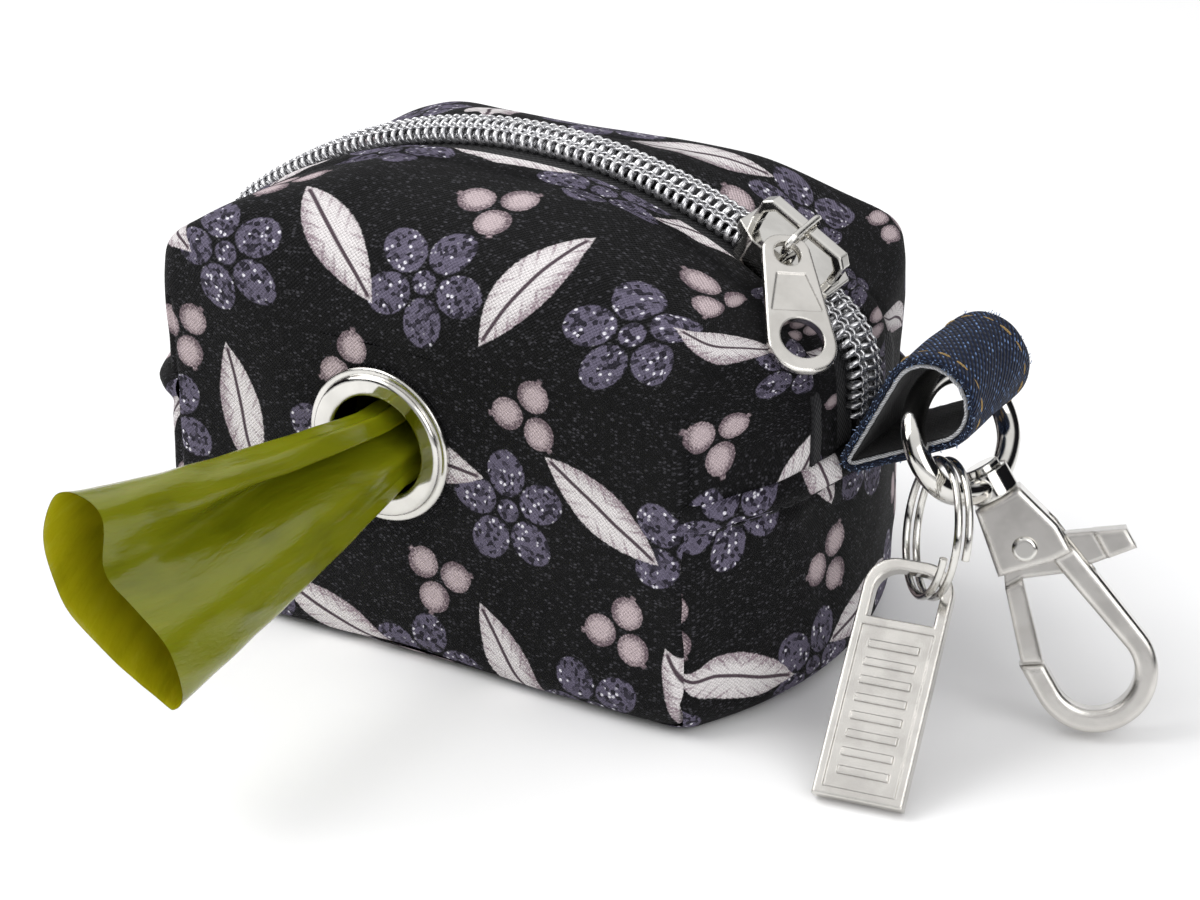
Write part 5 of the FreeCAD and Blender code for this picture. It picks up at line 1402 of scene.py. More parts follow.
    def raised_face(self, seed: int, pierced: bool) -> tuple[np.ndarray, float]:
        """The face with its swell, its side seams and the puckers that the eyelet's grip makes.

        Args:
            seed: picks the swell.
            pierced: whether an eyelet grips the cloth.

        Returns:
            The face's points and the depth of the seam's groove at its side.
        """
        face = self.form.settled(self.face_grid())
        out = self.form.outward(face)
        from_side = np.abs(face[..., 0]) - self.form.half_width
        groove = -self.seam_depth * hump(from_side, 0.0, self.seam_spread)
        height = self.swelled(face, seed) + groove * smooth_step(*self.seam_fade, face[..., 2])
        if pierced:
            reach, angle = self.from_eyelet(face)
            height = height * smooth_step(*self.eyelet_calm, reach)
            drift = self.pucker_drift * np.sin(angle * self.pucker_drift_count)
            puckers = self.pucker_height * np.sin(angle * self.pucker_count + drift)
            puckers = puckers * hump(reach, self.pucker_ring, self.pucker_spread)
            height = height + puckers - self.eyelet_press * smooth_step(*self.eyelet_press_reach, reach)
        return face + out * height[..., None], groove[self.low_rows, 0]

    def raised_ribbon(self, seed: int, corner_groove: float) -> tuple[np.ndarray, np.ndarray]:
        """The shoulder with its swell, the ripples and the tuck along the zip, and the hem turned under.

        Args:
            seed: picks the swell.
            corner_groove: depth of the seam's groove at the face's side.

        Returns:
            The ribbon's points with the hem's rows last, and the way up to the zip in each column.
        """
        ribbon, share = self.ribbon_grid()
        ribbon = self.form.settled(ribbon, hold_across=np.broadcast_to(share ** 3, ribbon.shape[:2]))
        out = self.form.outward(ribbon)
        climbed = lengths_along(ribbon, 0)
        to_zip = climbed[-1] - climbed
        walk = lengths_along(ribbon, 1)
        drift = self.ripple_drift * np.sin(walk * FULL_TURN / self.ripple_drift_pitch)
        ripple = np.sin(walk * FULL_TURN / self.ripple_pitch + drift)
        rise = self.swelled(ribbon, seed) * smooth_step(0.0, self.zip_calm, to_zip)
        rise = rise + (self.ripple_height * ripple * np.exp(-to_zip / self.ripple_reach)
                       * smooth_step(0.0, self.ripple_start, to_zip))
        rise = rise - self.tuck_depth * hump(to_zip, self.tuck_place, self.tuck_width)
        ridge_place = self.tuck_place - self.tuck_ridge_place
        rise = rise + self.tuck_ridge * hump(to_zip, ridge_place, self.tuck_ridge_width)
        column = np.arange(ribbon.shape[1])
        beside = np.abs(column - ribbon.shape[1] / 2 + 0.5) > self.face_columns / 2
        groove = corner_groove * hump(climbed, 0.0, self.seam_spread) * beside
        rise = rise + groove * smooth_step(*self.seam_fade, ribbon[..., 2])
        ribbon = ribbon + out * rise[..., None]
        hem = ribbon[-1][None] - out[-1][None] * np.array(self.hem_down)[:, None, None]
        hem[..., 1] = hem[..., 1] + np.array(self.hem_across)[:, None]
        return np.concatenate([ribbon, hem]), climbed[-1]

    def ribbon_cloth(self, edge_cloth: np.ndarray, ribbon: np.ndarray, climb: np.ndarray) -> np.ndarray:
        """Places on the cloth over the ribbon: on from the face's edge, with the cloth in the tuck left out.

        Args:
            edge_cloth: place on the cloth along the face's upper edge.
            ribbon: the ribbon's points.
            climb: the way up to the zip in each column.

        Returns:
            Rows by columns by two.
        """
        columns = ribbon.shape[1]
        heading = np.full(columns, math.pi / 2)
        reach = self.high_rows + self.turn_columns
        turned = (np.arange(reach) - self.high_rows + self.turn_columns) / (2 * self.turn_columns)
        heading[:reach] = np.clip(turned, 0, 1) * math.pi / 2
        heading = np.minimum(heading, heading[::-1])
        side = np.where(np.arange(columns) > columns / 2, -1, 1)
        way = np.stack([np.cos(heading) * side, np.sin(heading)], axis=-1)
        gone = lengths_along(ribbon, 0)
        ends = self.tuck_place + self.tuck_edge, self.tuck_place - self.tuck_edge
        gone = gone + self.tuck_take * smooth_step(*ends, climb - gone)
        return edge_cloth[None] + gone[..., None] * way[None]

    def side_panel(self, side: int, seed: int, pierced: bool) -> Sheet:
        """The front or back panel.

        The face is a flat grid and the shoulder a ribbon of curves from the face's edge to the zip edge. Both
        are settled on the form and then raised by swell, puckers, ripples, a tuck and the seams' grooves.

        Args:
            side: minus one for the front, one for the back.
            seed: picks the swell.
            pierced: whether the eyelet's hole is cut.

        Returns:
            The panel's sheet.
        """
        face, corner_groove = self.raised_face(seed, pierced)
        ribbon, climb = self.raised_ribbon(seed, corner_groove)
        cloth = face[..., [0, 2]]
        face_sheet = Sheet.of_grid(face, cloth)
        if pierced:
            face_sheet = self.holed(face_sheet)
        ribbon_sheet = Sheet.of_grid(ribbon, self.ribbon_cloth(self.upper_edge(cloth), ribbon, climb))
        panel = Sheet.joined([face_sheet, ribbon_sheet])
        if side > 0:
            panel.points = panel.points * HALF_TURN_ABOUT_Z
            panel.cloth = panel.cloth + np.array(self.back_print)
        return panel

    def base_grid(self) -> np.ndarray:
        """Grid of the belt before it is raised: down one end, under the base and up the other end.

        Returns:
            Rows by columns by three.
        """
        spread = np.linspace(-1, 1, self.base_rows * 2 + 1)
        across = np.sin(spread * math.pi / 2) * self.base_crowding + spread * (1 - self.base_crowding)
        across = across * self.form.half_depth
        reach = self.form.end_reach(across)
        up = np.linspace(self.seam_height, 0, self.low_rows + 1)
        floor = np.linspace(1, -1, self.face_columns + 1)[1:-1]
        shares = np.concatenate([np.ones(self.low_rows + 1), floor, -np.ones(self.low_rows + 1)])
        heights = np.concatenate([up, np.zeros(len(floor)), up[::-1]])[:, None]
        grid = np.stack(np.broadcast_arrays(shares[:, None] * reach, across[None], heights), axis=-1)
        held = self.base_hold * np.broadcast_to(heights > self.form.base_round, grid.shape[:2])
        return self.form.settled(grid, hold_across=held)

    def rolled(self, row: np.ndarray, facing: np.ndarray) -> np.ndarray:
        """Extra rows that carry an edge over and down behind itself.

        Args:
            row: points of the edge.
            facing: outward direction at each.

        Returns:
            The new rows, outwards from the edge.
        """
        rows = row[None] - facing[None] * np.array(self.roll_in)[:, None, None]
        rows[..., 2] = rows[..., 2] + np.array(self.roll_up)[:, None]
        return rows

    def base_panel(self) -> Sheet:
        """The base and both end flaps as one belt, its upper edges rolled over the end seams.

        Returns:
            The belt's sheet.
        """
        grid = self.base_grid()
        out = self.form.outward(grid)
        up = grid[..., 2]
        below = self.seam_height - up
        edge = self.form.half_depth - np.abs(grid[..., 1])
        calm = smooth_step(0.0, self.edge_calm, edge)
        lip = self.fold_out * hump(below, self.fold_middle, self.fold_width, 4)
        lip = lip * (self.fold_at_edge + (1 - self.fold_at_edge) * calm)
        stitch_line = -self.stitch_depth * hump(below, self.fold_height, self.stitch_width) * calm
        swell = self.swelled(grid, self.base_seed) * smooth_step(*self.base_swell, below)
        swell = swell * smooth_step(*self.floor_calm, up)
        groove = -self.seam_depth * hump(edge, 0.0, self.seam_spread) * smooth_step(*self.floor_seam, up)
        walk = grid[..., 1] * FULL_TURN / self.end_ripple_pitch
        ripple = self.end_ripple * np.sin(walk + self.end_ripple_start)
        ripple = ripple * hump(below, self.end_ripple_place, self.end_ripple_width)
        grid = grid + out * (lip + stitch_line + swell + groove + ripple * calm)[..., None]
        grid = np.concatenate([self.rolled(grid[0], out[0])[::-1], grid, self.rolled(grid[-1], out[-1])])
        cloth = np.stack([lengths_along(grid, 1), -lengths_along(grid, 0)], axis=-1)
        return Sheet.of_grid(grid, cloth + np.array(self.base_print))

    def lining(self) -> Sheet:
        """Inner cloth: the same three panels drawn in by a depth, without hems.

        Returns:
            All the panels as one sheet.
        """
        face = self.form.settled(self.face_grid(), self.lining_depth)
        ribbon, share = self.ribbon_grid()
        ribbon = self.form.settled(ribbon, self.lining_depth, np.broadcast_to(share ** 3, ribbon.shape[:2]))
        cloth = face[..., [0, 2]]
        over_cloth = np.stack([lengths_along(ribbon, 1), lengths_along(ribbon, 0)], axis=-1)
        front = self.holed(Sheet.of_grid(face, cloth))
        over = Sheet.of_grid(ribbon, over_cloth)
        back = Sheet.of_grid(face * HALF_TURN_ABOUT_Z, cloth)
        back_over = Sheet.of_grid(ribbon * HALF_TURN_ABOUT_Z, over_cloth)
        base = self.base_panel()
        base.points = self.form.settled(base.points, self.lining_depth)
        return Sheet.joined([front, over, back, back_over, base])

    def end_stitches(self) -> Sheet:
        """Stitches just below both end folds.

        Returns:
            Both rows as one sheet.
        """
        count = 120
        reach = self.form.half_depth - self.stitch_margin
        across = np.linspace(-reach, reach, count)
        up = np.full(count, self.seam_height - self.fold_height)
        rows = []
        for side in (1, -1):
            line = self.form.settled(np.stack([side * self.form.end_reach(across), across, up], axis=-1))
            facing = self.form.outward(line)
            rows.append(Stitching().along(line - facing * self.stitch_sink, facing))
        return Sheet.joined(rows)

    def build(self) -> None:
        """Makes the panels, the lining and the stitches."""
        Piece("front_cloth", self.side_panel(-1, self.front_seed, True), PRINT, Slot.PRINT, Carrier.POUCH,
              ("front_panel",), rounds=1, weld=self.panel_weld).build()
        Piece("back_cloth", self.side_panel(1, self.back_seed, False), PRINT, Slot.PRINT, Carrier.POUCH,
              ("back_panel",), rounds=1, weld=self.panel_weld).build()
        Piece("base_cloth", self.base_panel(), PRINT, Slot.PRINT, Carrier.POUCH, ("base_panel",),
              rounds=1).build()
        Piece("lining_cloth", self.lining(), LINING, Slot.LINING, Carrier.POUCH, ("lining",)).build()
        Piece("end_stitches", self.end_stitches(), BLACK_THREAD, Slot.PRINT, Carrier.POUCH).build()


@dataclass(frozen=True)
class ZipChain:
    """Both tapes and both coils of the zip, with the cords sewn along the coils."""

    foot: float = 36.5
    coil_foot: float = 41.5
    tape_depth: float = 1.25
    tape_inner: float = 0.6
    tape_outer: float = 13.0
    tape_thickness: float = 0.4
    tape_steps: tuple[int, int] = (220, 16)
    coil_middle: float = 1.98
    coil_half: float = 1.52
    coil_rise: float = 0.25
    coil_lift: float = 1.05
    wire: float = 0.44
    pitch: float = 1.5
    turn_steps: int = 22
    wire_sides: int = 8
    cord_places: Pair = (-0.5, 0.75)
    cord_bed: float = 0.55
    cord_wave: float = 0.16
    cord_sway: float = 0.1
    cord_radius: float = 0.24
    cord_sides: int = 6
    cord_every: int = 3

    def tape(self, side: int) -> Sheet:
        """One tape: a strip under the cloth's edge that droops as the roof does away from the middle.

        Args:
            side: minus one for the front, one for the back.

        Returns:
            The tape's sheet.
        """
        rows, columns = self.tape_steps
        line, facing = ZIP.line(rows, self.foot, -self.tape_depth)
        across = np.linspace(self.tape_inner, self.tape_outer, columns)
        droop = FORM.roof_radius - np.sqrt(FORM.roof_radius ** 2 - across ** 2)
        grid = line[:, None] - facing[:, None] * (droop * facing[:, None, 2])[..., None]
        grid[..., 1] = side * across
        cloth = np.stack(np.broadcast_arrays(lengths_along(line[:, None], 0), across[None]), axis=-1)
        return Sheet.of_grid(grid, cloth)

    def coil(self, side: int) -> Sheet:
        """One coil: a wire wound about a flat oval along the zip, with two cords sewn over its turns.

        Args:
            side: minus one for the front, one for the back.

        Returns:
            The wire and its cords as one sheet.
        """
        ends, _ = ZIP.line(ZIP.fine_steps, self.coil_foot)
        length = lengths_along(ends[:, None], 0)[-1, 0]
        turns = int(length / self.pitch)
        count = turns * self.turn_steps
        line, facing = ZIP.line(count, self.coil_foot)
        phase = np.linspace(0, turns * FULL_TURN, count) + (math.pi if side > 0 else 0.0)
        path = line + facing * (self.coil_rise + self.coil_lift * np.sin(phase))[:, None]
        path[:, 1] = side * (self.coil_middle + self.coil_half * np.cos(phase))
        sheets = [tube(path, self.wire, self.wire_sides)]
        bed = self.coil_rise + self.coil_lift + self.wire * self.cord_bed
        for place in self.cord_places:
            cord = line + facing * (bed + self.cord_wave * np.sin(phase - math.pi / 2))[:, None]
            cord[:, 1] = side * (self.coil_middle + place + self.cord_sway * np.sin(phase))
            sheets.append(tube(cord[::self.cord_every], self.cord_radius, self.cord_sides))
        return Sheet.joined(sheets)

    def build(self) -> None:
        """Makes both sides."""
        for word, side in (("front", -1), ("back", 1)):
            Piece(f"tape_{word}", self.tape(side), TAPE, Slot.TAPE, Carrier.POUCH, (f"zip_tape_{word}",),
                  thickness=self.tape_thickness).build()
            Piece(f"coil_{word}", self.coil(side), COIL, Slot.COIL, Carrier.POUCH,
                  (f"zip_coil_{word}",)).build()


@dataclass(frozen=True)
class DenimLoop:
    """The denim strap folded round the swivel ring, with its lining, topstitches and frayed edges.

    Seen from the side the strap is a drop: a small circle at the seam, a large one at the ring and the two
    straight runs that touch both.
    """

    root: Triple = (56.1, 0.0, 36.5)
    angle: float = 45.0
    length: float = 24.5
    root_round: float = 1.9
    tip_round: float = 6.9
    half_width: float = 9.7
    thickness: float = 1.1
    lining_thickness: float = 0.6
    lining_gap: float = 0.02
    lining_inset: float = 0.5
    lining_print: float = 3.7
    arc_steps: int = 60
    path_steps: int = 150
    width_steps: int = 20
    edge_waves: tuple[tuple[float, int, float], ...] = ((0.012, 5, 0.6), (0.008, 11, 0.0))
    ripple: float = 0.12
    ripple_count: int = 7
    ripple_slant: float = 0.35
    stitch_inset: float = 2.4
    topstitch: Stitching = Stitching(length=2.0, gap=1.1, radius=0.19, rise=-0.06)
    fray_seed: int = 23
    fray_count: int = 170
    fray_radius: float = 0.07
    fray_sides: int = 4
    fray_points: int = 4
    fray_inset: float = 0.25
    fray_spread: float = 0.5
    fray_bend: float = 0.12
    fray_lengths: Pair = (0.25, 0.5)
    edging_inset: float = 0.35
    edging_wave: float = 0.12
    edging_points: int = 6
    edging_radius: float = 0.3
    edging_sides: int = 6

    def profile(self, depth: float) -> tuple[np.ndarray, np.ndarray]:
        """Closed drop outline at a depth under the strap's outer face, with its outward directions.

        Args:
            depth: distance inside the outer face.

        Returns:
            Points and directions in the pouch's frame, starting at the seam.
        """
        near, far = self.root_round, self.length - self.tip_round
        lean = math.asin((self.tip_round - self.root_round) / (far - near))
        half_turn = math.pi / 2 + lean
        counts = (self.arc_steps, self.arc_steps * 3, self.arc_steps)
        turn = np.concatenate([np.linspace(math.pi, half_turn, counts[0]),
                               np.linspace(half_turn, -half_turn, counts[1]),
                               np.linspace(-half_turn, -math.pi, counts[2])])
        middle = np.repeat((near, far, near), counts)
        radius = np.repeat((self.root_round, self.tip_round, self.root_round), counts) - depth
        flat = np.stack([middle + radius * np.cos(turn), radius * np.sin(turn)], axis=-1)
        walked = lengths_along(flat, 0)
        even = np.linspace(0, walked[-1], self.path_steps, endpoint=False)
        heading = np.interp(even, walked, turn)
        along, up = (np.interp(even, walked, part) for part in flat.T)
        return self.placed(along, up) + np.array(self.root), self.placed(np.cos(heading), np.sin(heading))

    def placed(self, first: np.ndarray, second: np.ndarray) -> np.ndarray:
        """Side-view coordinates turned to the loop's lie.

        Args:
            first: along the loop.
            second: square to it.

        Returns:
            Points in the pouch's frame.
        """
        tilt = math.radians(self.angle)
        cosine, sine = math.cos(tilt), math.sin(tilt)
        return np.stack([first * cosine - second * sine, np.zeros(len(first)),
                         first * sine + second * cosine], axis=-1)

    def band(self, top: float, bottom: float, half_width: float, ripple: float) -> Sheet:
        """A closed strap between two depths, its edges a little wavy.

        Args:
            top: depth of its outer face.
            bottom: depth of its inner face.
            half_width: middle to an edge.
            ripple: height of the waves on its outer face, calm at the edges.

        Returns:
            The strap's sheet.
        """
        outer, facing = self.profile(top)
        inner, _ = self.profile(bottom)
        across = np.linspace(-half_width, half_width, self.width_steps)
        walk = np.arange(self.path_steps) / self.path_steps * FULL_TURN
        edge = 1 + sum(size * np.sin(walk * count + start) for size, count, start in self.edge_waves)
        face = np.repeat(outer[:, None], self.width_steps, axis=1)
        face[..., 1] = across[None] * edge[:, None]
        calm = np.cos(across / half_width * math.pi / 2) ** 0.5
        lift = ripple * np.sin(walk[:, None] * self.ripple_count + across[None] * self.ripple_slant) * calm
        face = face + facing[:, None] * lift[..., None]
        back = np.repeat(inner[:, None], self.width_steps, axis=1)
        back[..., 1] = face[..., 1]
        grid = np.concatenate([face, back[:, ::-1]], axis=1)
        walked = np.broadcast_to(lengths_along(outer[:, None], 0), grid.shape[:2])
        sideways = np.concatenate([face[..., 1], back[:, ::-1, 1] + self.lining_print], axis=1)
        return Sheet.of_grid(grid, np.stack([walked, sideways], axis=-1), round_rows=True, round_columns=True)

    def beside(self, line: np.ndarray, side: int, reach: np.ndarray | float) -> np.ndarray:
        """A line in the middle plane moved out to one side.

        Args:
            line: points of the line.
            side: minus one or one.
            reach: distance from the middle plane.

        Returns:
            The moved points.
        """
        row = line.copy()
        row[:, 1] = side * reach
        return row

    def topstitches(self) -> Sheet:
        """A row of stitches near each edge of the strap.

        Returns:
            Both rows as one sheet.
        """
        line, facing = self.profile(0.0)
        reach = self.half_width - self.stitch_inset
        rows = [self.beside(line, side, reach) for side in (-1, 1)]
        return Sheet.joined([self.topstitch.along(row, facing) for row in rows])

    def fray(self) -> Sheet:
        """Short loose yarn ends along both raw edges, each a slightly bent line from a random spot.

        Returns:
            All the yarn ends as one sheet.
        """
        chance = np.random.default_rng(self.fray_seed)
        line, facing = self.profile(self.thickness / 2)
        steps = np.linspace(0, 1, self.fray_points)[:, None]
        hairs = []
        for side in (-1.0, 1.0):
            for spot in chance.integers(0, self.path_steps, self.fray_count):
                start = line[spot] + facing[spot] * chance.uniform(-self.fray_spread, self.fray_spread)
                start[1] = side * (self.half_width - self.fray_inset)
                lean = facing[spot] * chance.normal(0, self.fray_spread)
                lean[1] = side
                bend = chance.normal(0, self.fray_bend, 3)
                hair = start + steps * lean * chance.uniform(*self.fray_lengths) + steps ** 2 * bend
                hairs.append(tube(hair, self.fray_radius, self.fray_sides))
        return Sheet.joined(hairs)

    def edging(self) -> Sheet:
        """Silvered yarn along both edges of the lining, swaying a little.

        Returns:
            Both yarns as one sheet.
        """
        line, _ = self.profile(self.thickness + self.lining_thickness / 2)
        sway = self.edging_wave * np.sin(np.arange(self.path_steps) * FULL_TURN / self.edging_points)
        reach = self.half_width - self.edging_inset + sway
        rows = [self.beside(line, side, reach) for side in (-1, 1)]
        return Sheet.joined([tube(row, self.edging_radius, self.edging_sides, closed=True) for row in rows])

    def build(self) -> None:
        """Makes the strap, its lining and its yarns."""
        strap = self.band(0.0, self.thickness, self.half_width, self.ripple)
        lining = self.band(self.thickness + self.lining_gap, self.thickness + self.lining_thickness,
                           self.half_width - self.lining_inset, 0.0)
        Piece("strap", strap, DENIM, Slot.DENIM, Carrier.LOOP, ("loop_denim",), rounds=1).build()
        Piece("strap_lining", lining, LINING, Slot.LINING, Carrier.LOOP, ("loop_lining",)).build()
        Piece("strap_stitches", self.topstitches(), GOLD_THREAD, Slot.DENIM, Carrier.LOOP).build()
        Piece("strap_fray", self.fray(), PALE_THREAD, Slot.DENIM, Carrier.LOOP).build()
        Piece("strap_edging", self.edging(), SILVER_THREAD, Slot.LINING, Carrier.LOOP).build()


def tube_outward(grid: np.ndarray) -> np.ndarray:
    """Direction out of a tube at each point of its grid, whose columns run round it.

    Args:
        grid: rows by columns by three.

    Returns:
        One direction per point.
    """
    down = np.gradient(grid, axis=0)
    across = (np.roll(grid, -1, axis=1) - np.roll(grid, 1, axis=1)) / 2
    return unit(np.cross(down, across))


@dataclass(frozen=True)
class BagTail:
    """The bag pulled out through the eyelet: gathered in the bore and flaring to a folded, open mouth.

    Each cross-section is a rounded oval with a deep fold pressed into its near side. The oval grows evenly
    from the bore to the mouth while the fold widens and grows shallower. Pairs of sizes are at the bore and at
    the mouth.
    """

    side_places: Pair = (-6.0, -10.2)
    heights: Pair = (33.8, 33.2)
    half_long: Pair = (6.2, 16.0)
    half_short: Pair = (4.9, 6.8)
    tilt: float = 32.0
    start: float = -13.0
    flare_start: float = -34.0
    mouth: float = -88.5
    film: float = 0.22
    rim_film: float = 0.2
    smoothing: int = 12
    rows: int = 120
    columns: int = 160
    near_power: float = 2.8
    far_power: float = 1.4
    far_lean: float = 0.2
    near_edge: float = 0.45
    fold: Pair = (7.4, 5.2)
    fold_belly: float = 2.4
    fold_belly_reach: float = 1.2
    fold_spread: Pair = (0.13, 0.33)
    fold_place: Pair = (0.0, 0.18)
    fold_overhang: float = 0.75
    overhang_loss: float = 0.8
    small_fold: float = 2.6
    small_place: float = -0.6
    small_spread: float = 0.11
    small_fade: Pair = (0.5, 0.1)
    pleats: tuple[tuple[float, int, float], ...] = ((0.5, 9, 0.8), (0.3, 16, 2.0))
    pleat_fade: float = 1.5
    crumple_pitch: float = 9.0
    crumple_seed: int = 41
    crumple_stretch: float = 0.28
    crumple: float = 0.5
    crumple_aside: float = 0.4
    sag: float = 0.72
    rim: float = 1.1
    rim_start: float = 0.6
    wrinkle_pitch: float = 4.4
    wrinkle_seed: int = 57
    wrinkle: float = 0.13
    crease_pitch: float = 12.0
    crease_seed: int = 83
    crease: float = 0.4
    crease_stretch: float = 0.35
    crease_at_bore: float = 0.3
    rim_calm: float = 0.8

    def grid(self) -> np.ndarray:
        """Points of the film's outer face, rows from the inside to the mouth.

        Returns:
            Rows by columns by three.
        """
        turn = np.linspace(0, FULL_TURN, self.columns, endpoint=False)[None]
        depth = np.linspace(self.start, self.mouth, self.rows)[:, None]
        share = np.clip((self.flare_start - depth) / (self.flare_start - self.mouth), 0, 1)

        def grown(sizes: Pair) -> np.ndarray:
            """A size that grows evenly from the bore to the mouth."""
            return sizes[0] + (sizes[1] - sizes[0]) * share

        along = np.cos(turn)
        oval = np.abs(np.sin(turn))
        squarish = (1 - np.abs(along) ** self.near_power) ** (1 / self.near_power)
        lens = oval ** self.far_power * (1 + self.far_lean * along)
        bulge = np.where(np.sin(turn) > 0, oval + (squarish - oval) * share, -oval - (lens - oval) * share)
        facing = smooth_step(0.0, self.near_edge, np.sin(turn))
        belly = np.sin(np.clip(share * self.fold_belly_reach, 0, 1) * math.pi)
        fold = grown(self.fold) + self.fold_belly * belly
        pressed = fold * hump(along, grown(self.fold_place), grown(self.fold_spread)) * facing
        small = self.small_fold * smooth_step(*self.small_fade, share) * facing
        small = small * hump(along, self.small_place, self.small_spread)
        pleats = sum(size * np.sin(turn * count + start) for size, count, start in self.pleats)
        pleats = pleats * (1 - share) ** self.pleat_fade
        overhang = self.fold_overhang * (1 - self.overhang_loss * share) * pressed
        long_way = (grown(self.half_long) + pleats) * along + overhang
        short_way = (grown(self.half_short) + pleats) * bulge - pressed - small
        spots = np.stack(np.broadcast_arrays(long_way, short_way, depth * self.crumple_stretch), axis=-1)
        crumple = waves(spots.reshape(-1, 3), self.crumple_pitch, self.crumple_seed).reshape(spots.shape[:-1])
        crumple = crumple * self.crumple * share
        short_way = short_way + crumple
        long_way = long_way + crumple * self.crumple_aside
        lean = math.radians(self.tilt)
        side = grown(self.side_places) - math.sin(lean) * long_way + math.cos(lean) * short_way
        up = grown(self.heights) + math.cos(lean) * long_way + math.sin(lean) * short_way
        up = up - self.sag * np.sin(share * math.pi)
        rim = self.rim * np.sin(turn * 2 + self.rim_start) * share ** 5
        points = np.stack(np.broadcast_arrays(side, depth + rim, up), axis=-1)
        for _ in range(self.smoothing):
            points = points * 0.5 + (np.roll(points, 1, axis=1) + np.roll(points, -1, axis=1)) * 0.25
        return points + tube_outward(points) * self.crinkled(points, share)[..., None]

    def crinkled(self, points: np.ndarray, share: np.ndarray) -> np.ndarray:
        """Height of the film's wrinkles and creases, stretched along the pull and calm at the rim.

        Args:
            points: rows by columns by three.
            share: how far each row is along the flare.

        Returns:
            Rows by columns.
        """
        spots = (points * np.array([1.0, self.crease_stretch, 1.0])).reshape(-1, 3)
        wrinkles = waves(spots, self.wrinkle_pitch, self.wrinkle_seed) * self.wrinkle
        creases = np.abs(waves(spots, self.crease_pitch, self.crease_seed)) * self.crease
        strength = self.crease_at_bore + (1 - self.crease_at_bore) * share
        return (wrinkles - creases).reshape(points.shape[:-1]) * strength * (1 - self.rim_calm * share ** 8)

    def build(self) -> None:
        """Makes the film's outer face and its inner face, which has a painted glow."""
        outer = self.grid()
        out = tube_outward(outer)
        cloth = np.stack([lengths_along(outer, 0), lengths_along(outer, 1)], axis=-1)
        inner = outer - out * self.film
        inner[-1] = outer[-1] - out[-1] * self.film * self.rim_film
        Piece("bag_film", Sheet.of_grid(outer, cloth, round_columns=True), FILM, Slot.FILM, Carrier.TAIL,
              ("bag_tail",), rounds=1).build()
        # Painted glow: the inner face takes the brighter copy of the film's finish.
        inside = Sheet.of_grid(inner, cloth, round_columns=True).turned()
        Piece("bag_inside", inside, FILM_INSIDE_PAINTED_GLOW, Slot.FILM, Carrier.TAIL, rounds=1).build()


@dataclass(frozen=True)
class FilmRoll:
    """The roll of flat bags on its card core, hidden in the pouch."""

    middle: Triple = (0.0, 10.0, 19.1)
    radius: float = 16.5
    core_radius: float = 6.5
    core_wall: float = 1.3
    core_gap: float = 0.05
    half_length: float = 30.0
    layers: int = 24
    layer_step: float = 0.35
    film_sides: int = 96
    film_uneven: float = 0.004
    film_steps: int = 40
    core_sides: int = 64
    core_steps: int = 30

    def turned_shape(self, along: np.ndarray, radius: np.ndarray, sides: int, uneven: float) -> Sheet:
        """A closed outline turned about the roll's axis.

        Args:
            along: places of the outline along the axis.
            radius: its distance from the axis at each.
            sides: points round the axis.
            uneven: share by which the radius rises and falls round the axis.

        Returns:
            The turned sheet.
        """
        turn = np.linspace(0, FULL_TURN, sides, endpoint=False)[None]
        reach = radius[:, None] * (1 + uneven * np.sin(turn * 3 + radius[:, None]))
        places = np.broadcast_arrays(along[:, None] + self.middle[0], self.middle[1] + reach * np.cos(turn),
                                     self.middle[2] + reach * np.sin(turn))
        grid = np.stack(places, axis=-1)
        cloth = np.stack([lengths_along(grid, 0), lengths_along(grid, 1)], axis=-1)
        return Sheet.of_grid(grid, cloth, round_rows=True, round_columns=True)

    def build(self) -> None:
        """Makes the wound film, with its layers stepped at both ends, and the core."""
        steps = self.layers * 2
        bore = self.core_radius + self.core_gap
        outward = np.linspace(bore, self.radius, steps)
        stepped = self.half_length - self.layer_step * (np.arange(steps) % 2)
        surface = np.linspace(self.half_length, -self.half_length, self.film_steps)[1:-1]
        along = np.concatenate([stepped, surface, -stepped[::-1], surface[::-1]])
        radius = np.concatenate([outward, np.full(len(surface), self.radius), outward[::-1],
                                 np.full(len(surface), bore)])
        film = self.turned_shape(along, radius, self.film_sides, self.film_uneven)
        Piece("film_roll", film, FILM, Slot.FILM, Carrier.ROLL, ("bag_roll",)).build()
        core_along = np.linspace(self.half_length, -self.half_length, self.core_steps)
        core_radius = np.repeat((self.core_radius, self.core_radius - self.core_wall), self.core_steps)
        core_along = np.concatenate([core_along, core_along[::-1]])
        core = self.turned_shape(core_along, core_radius, self.core_sides, 0.0)
        Piece("card_core", core, CARD, Slot.CARD, Carrier.ROLL, ("roll_core",)).build()


# The studio


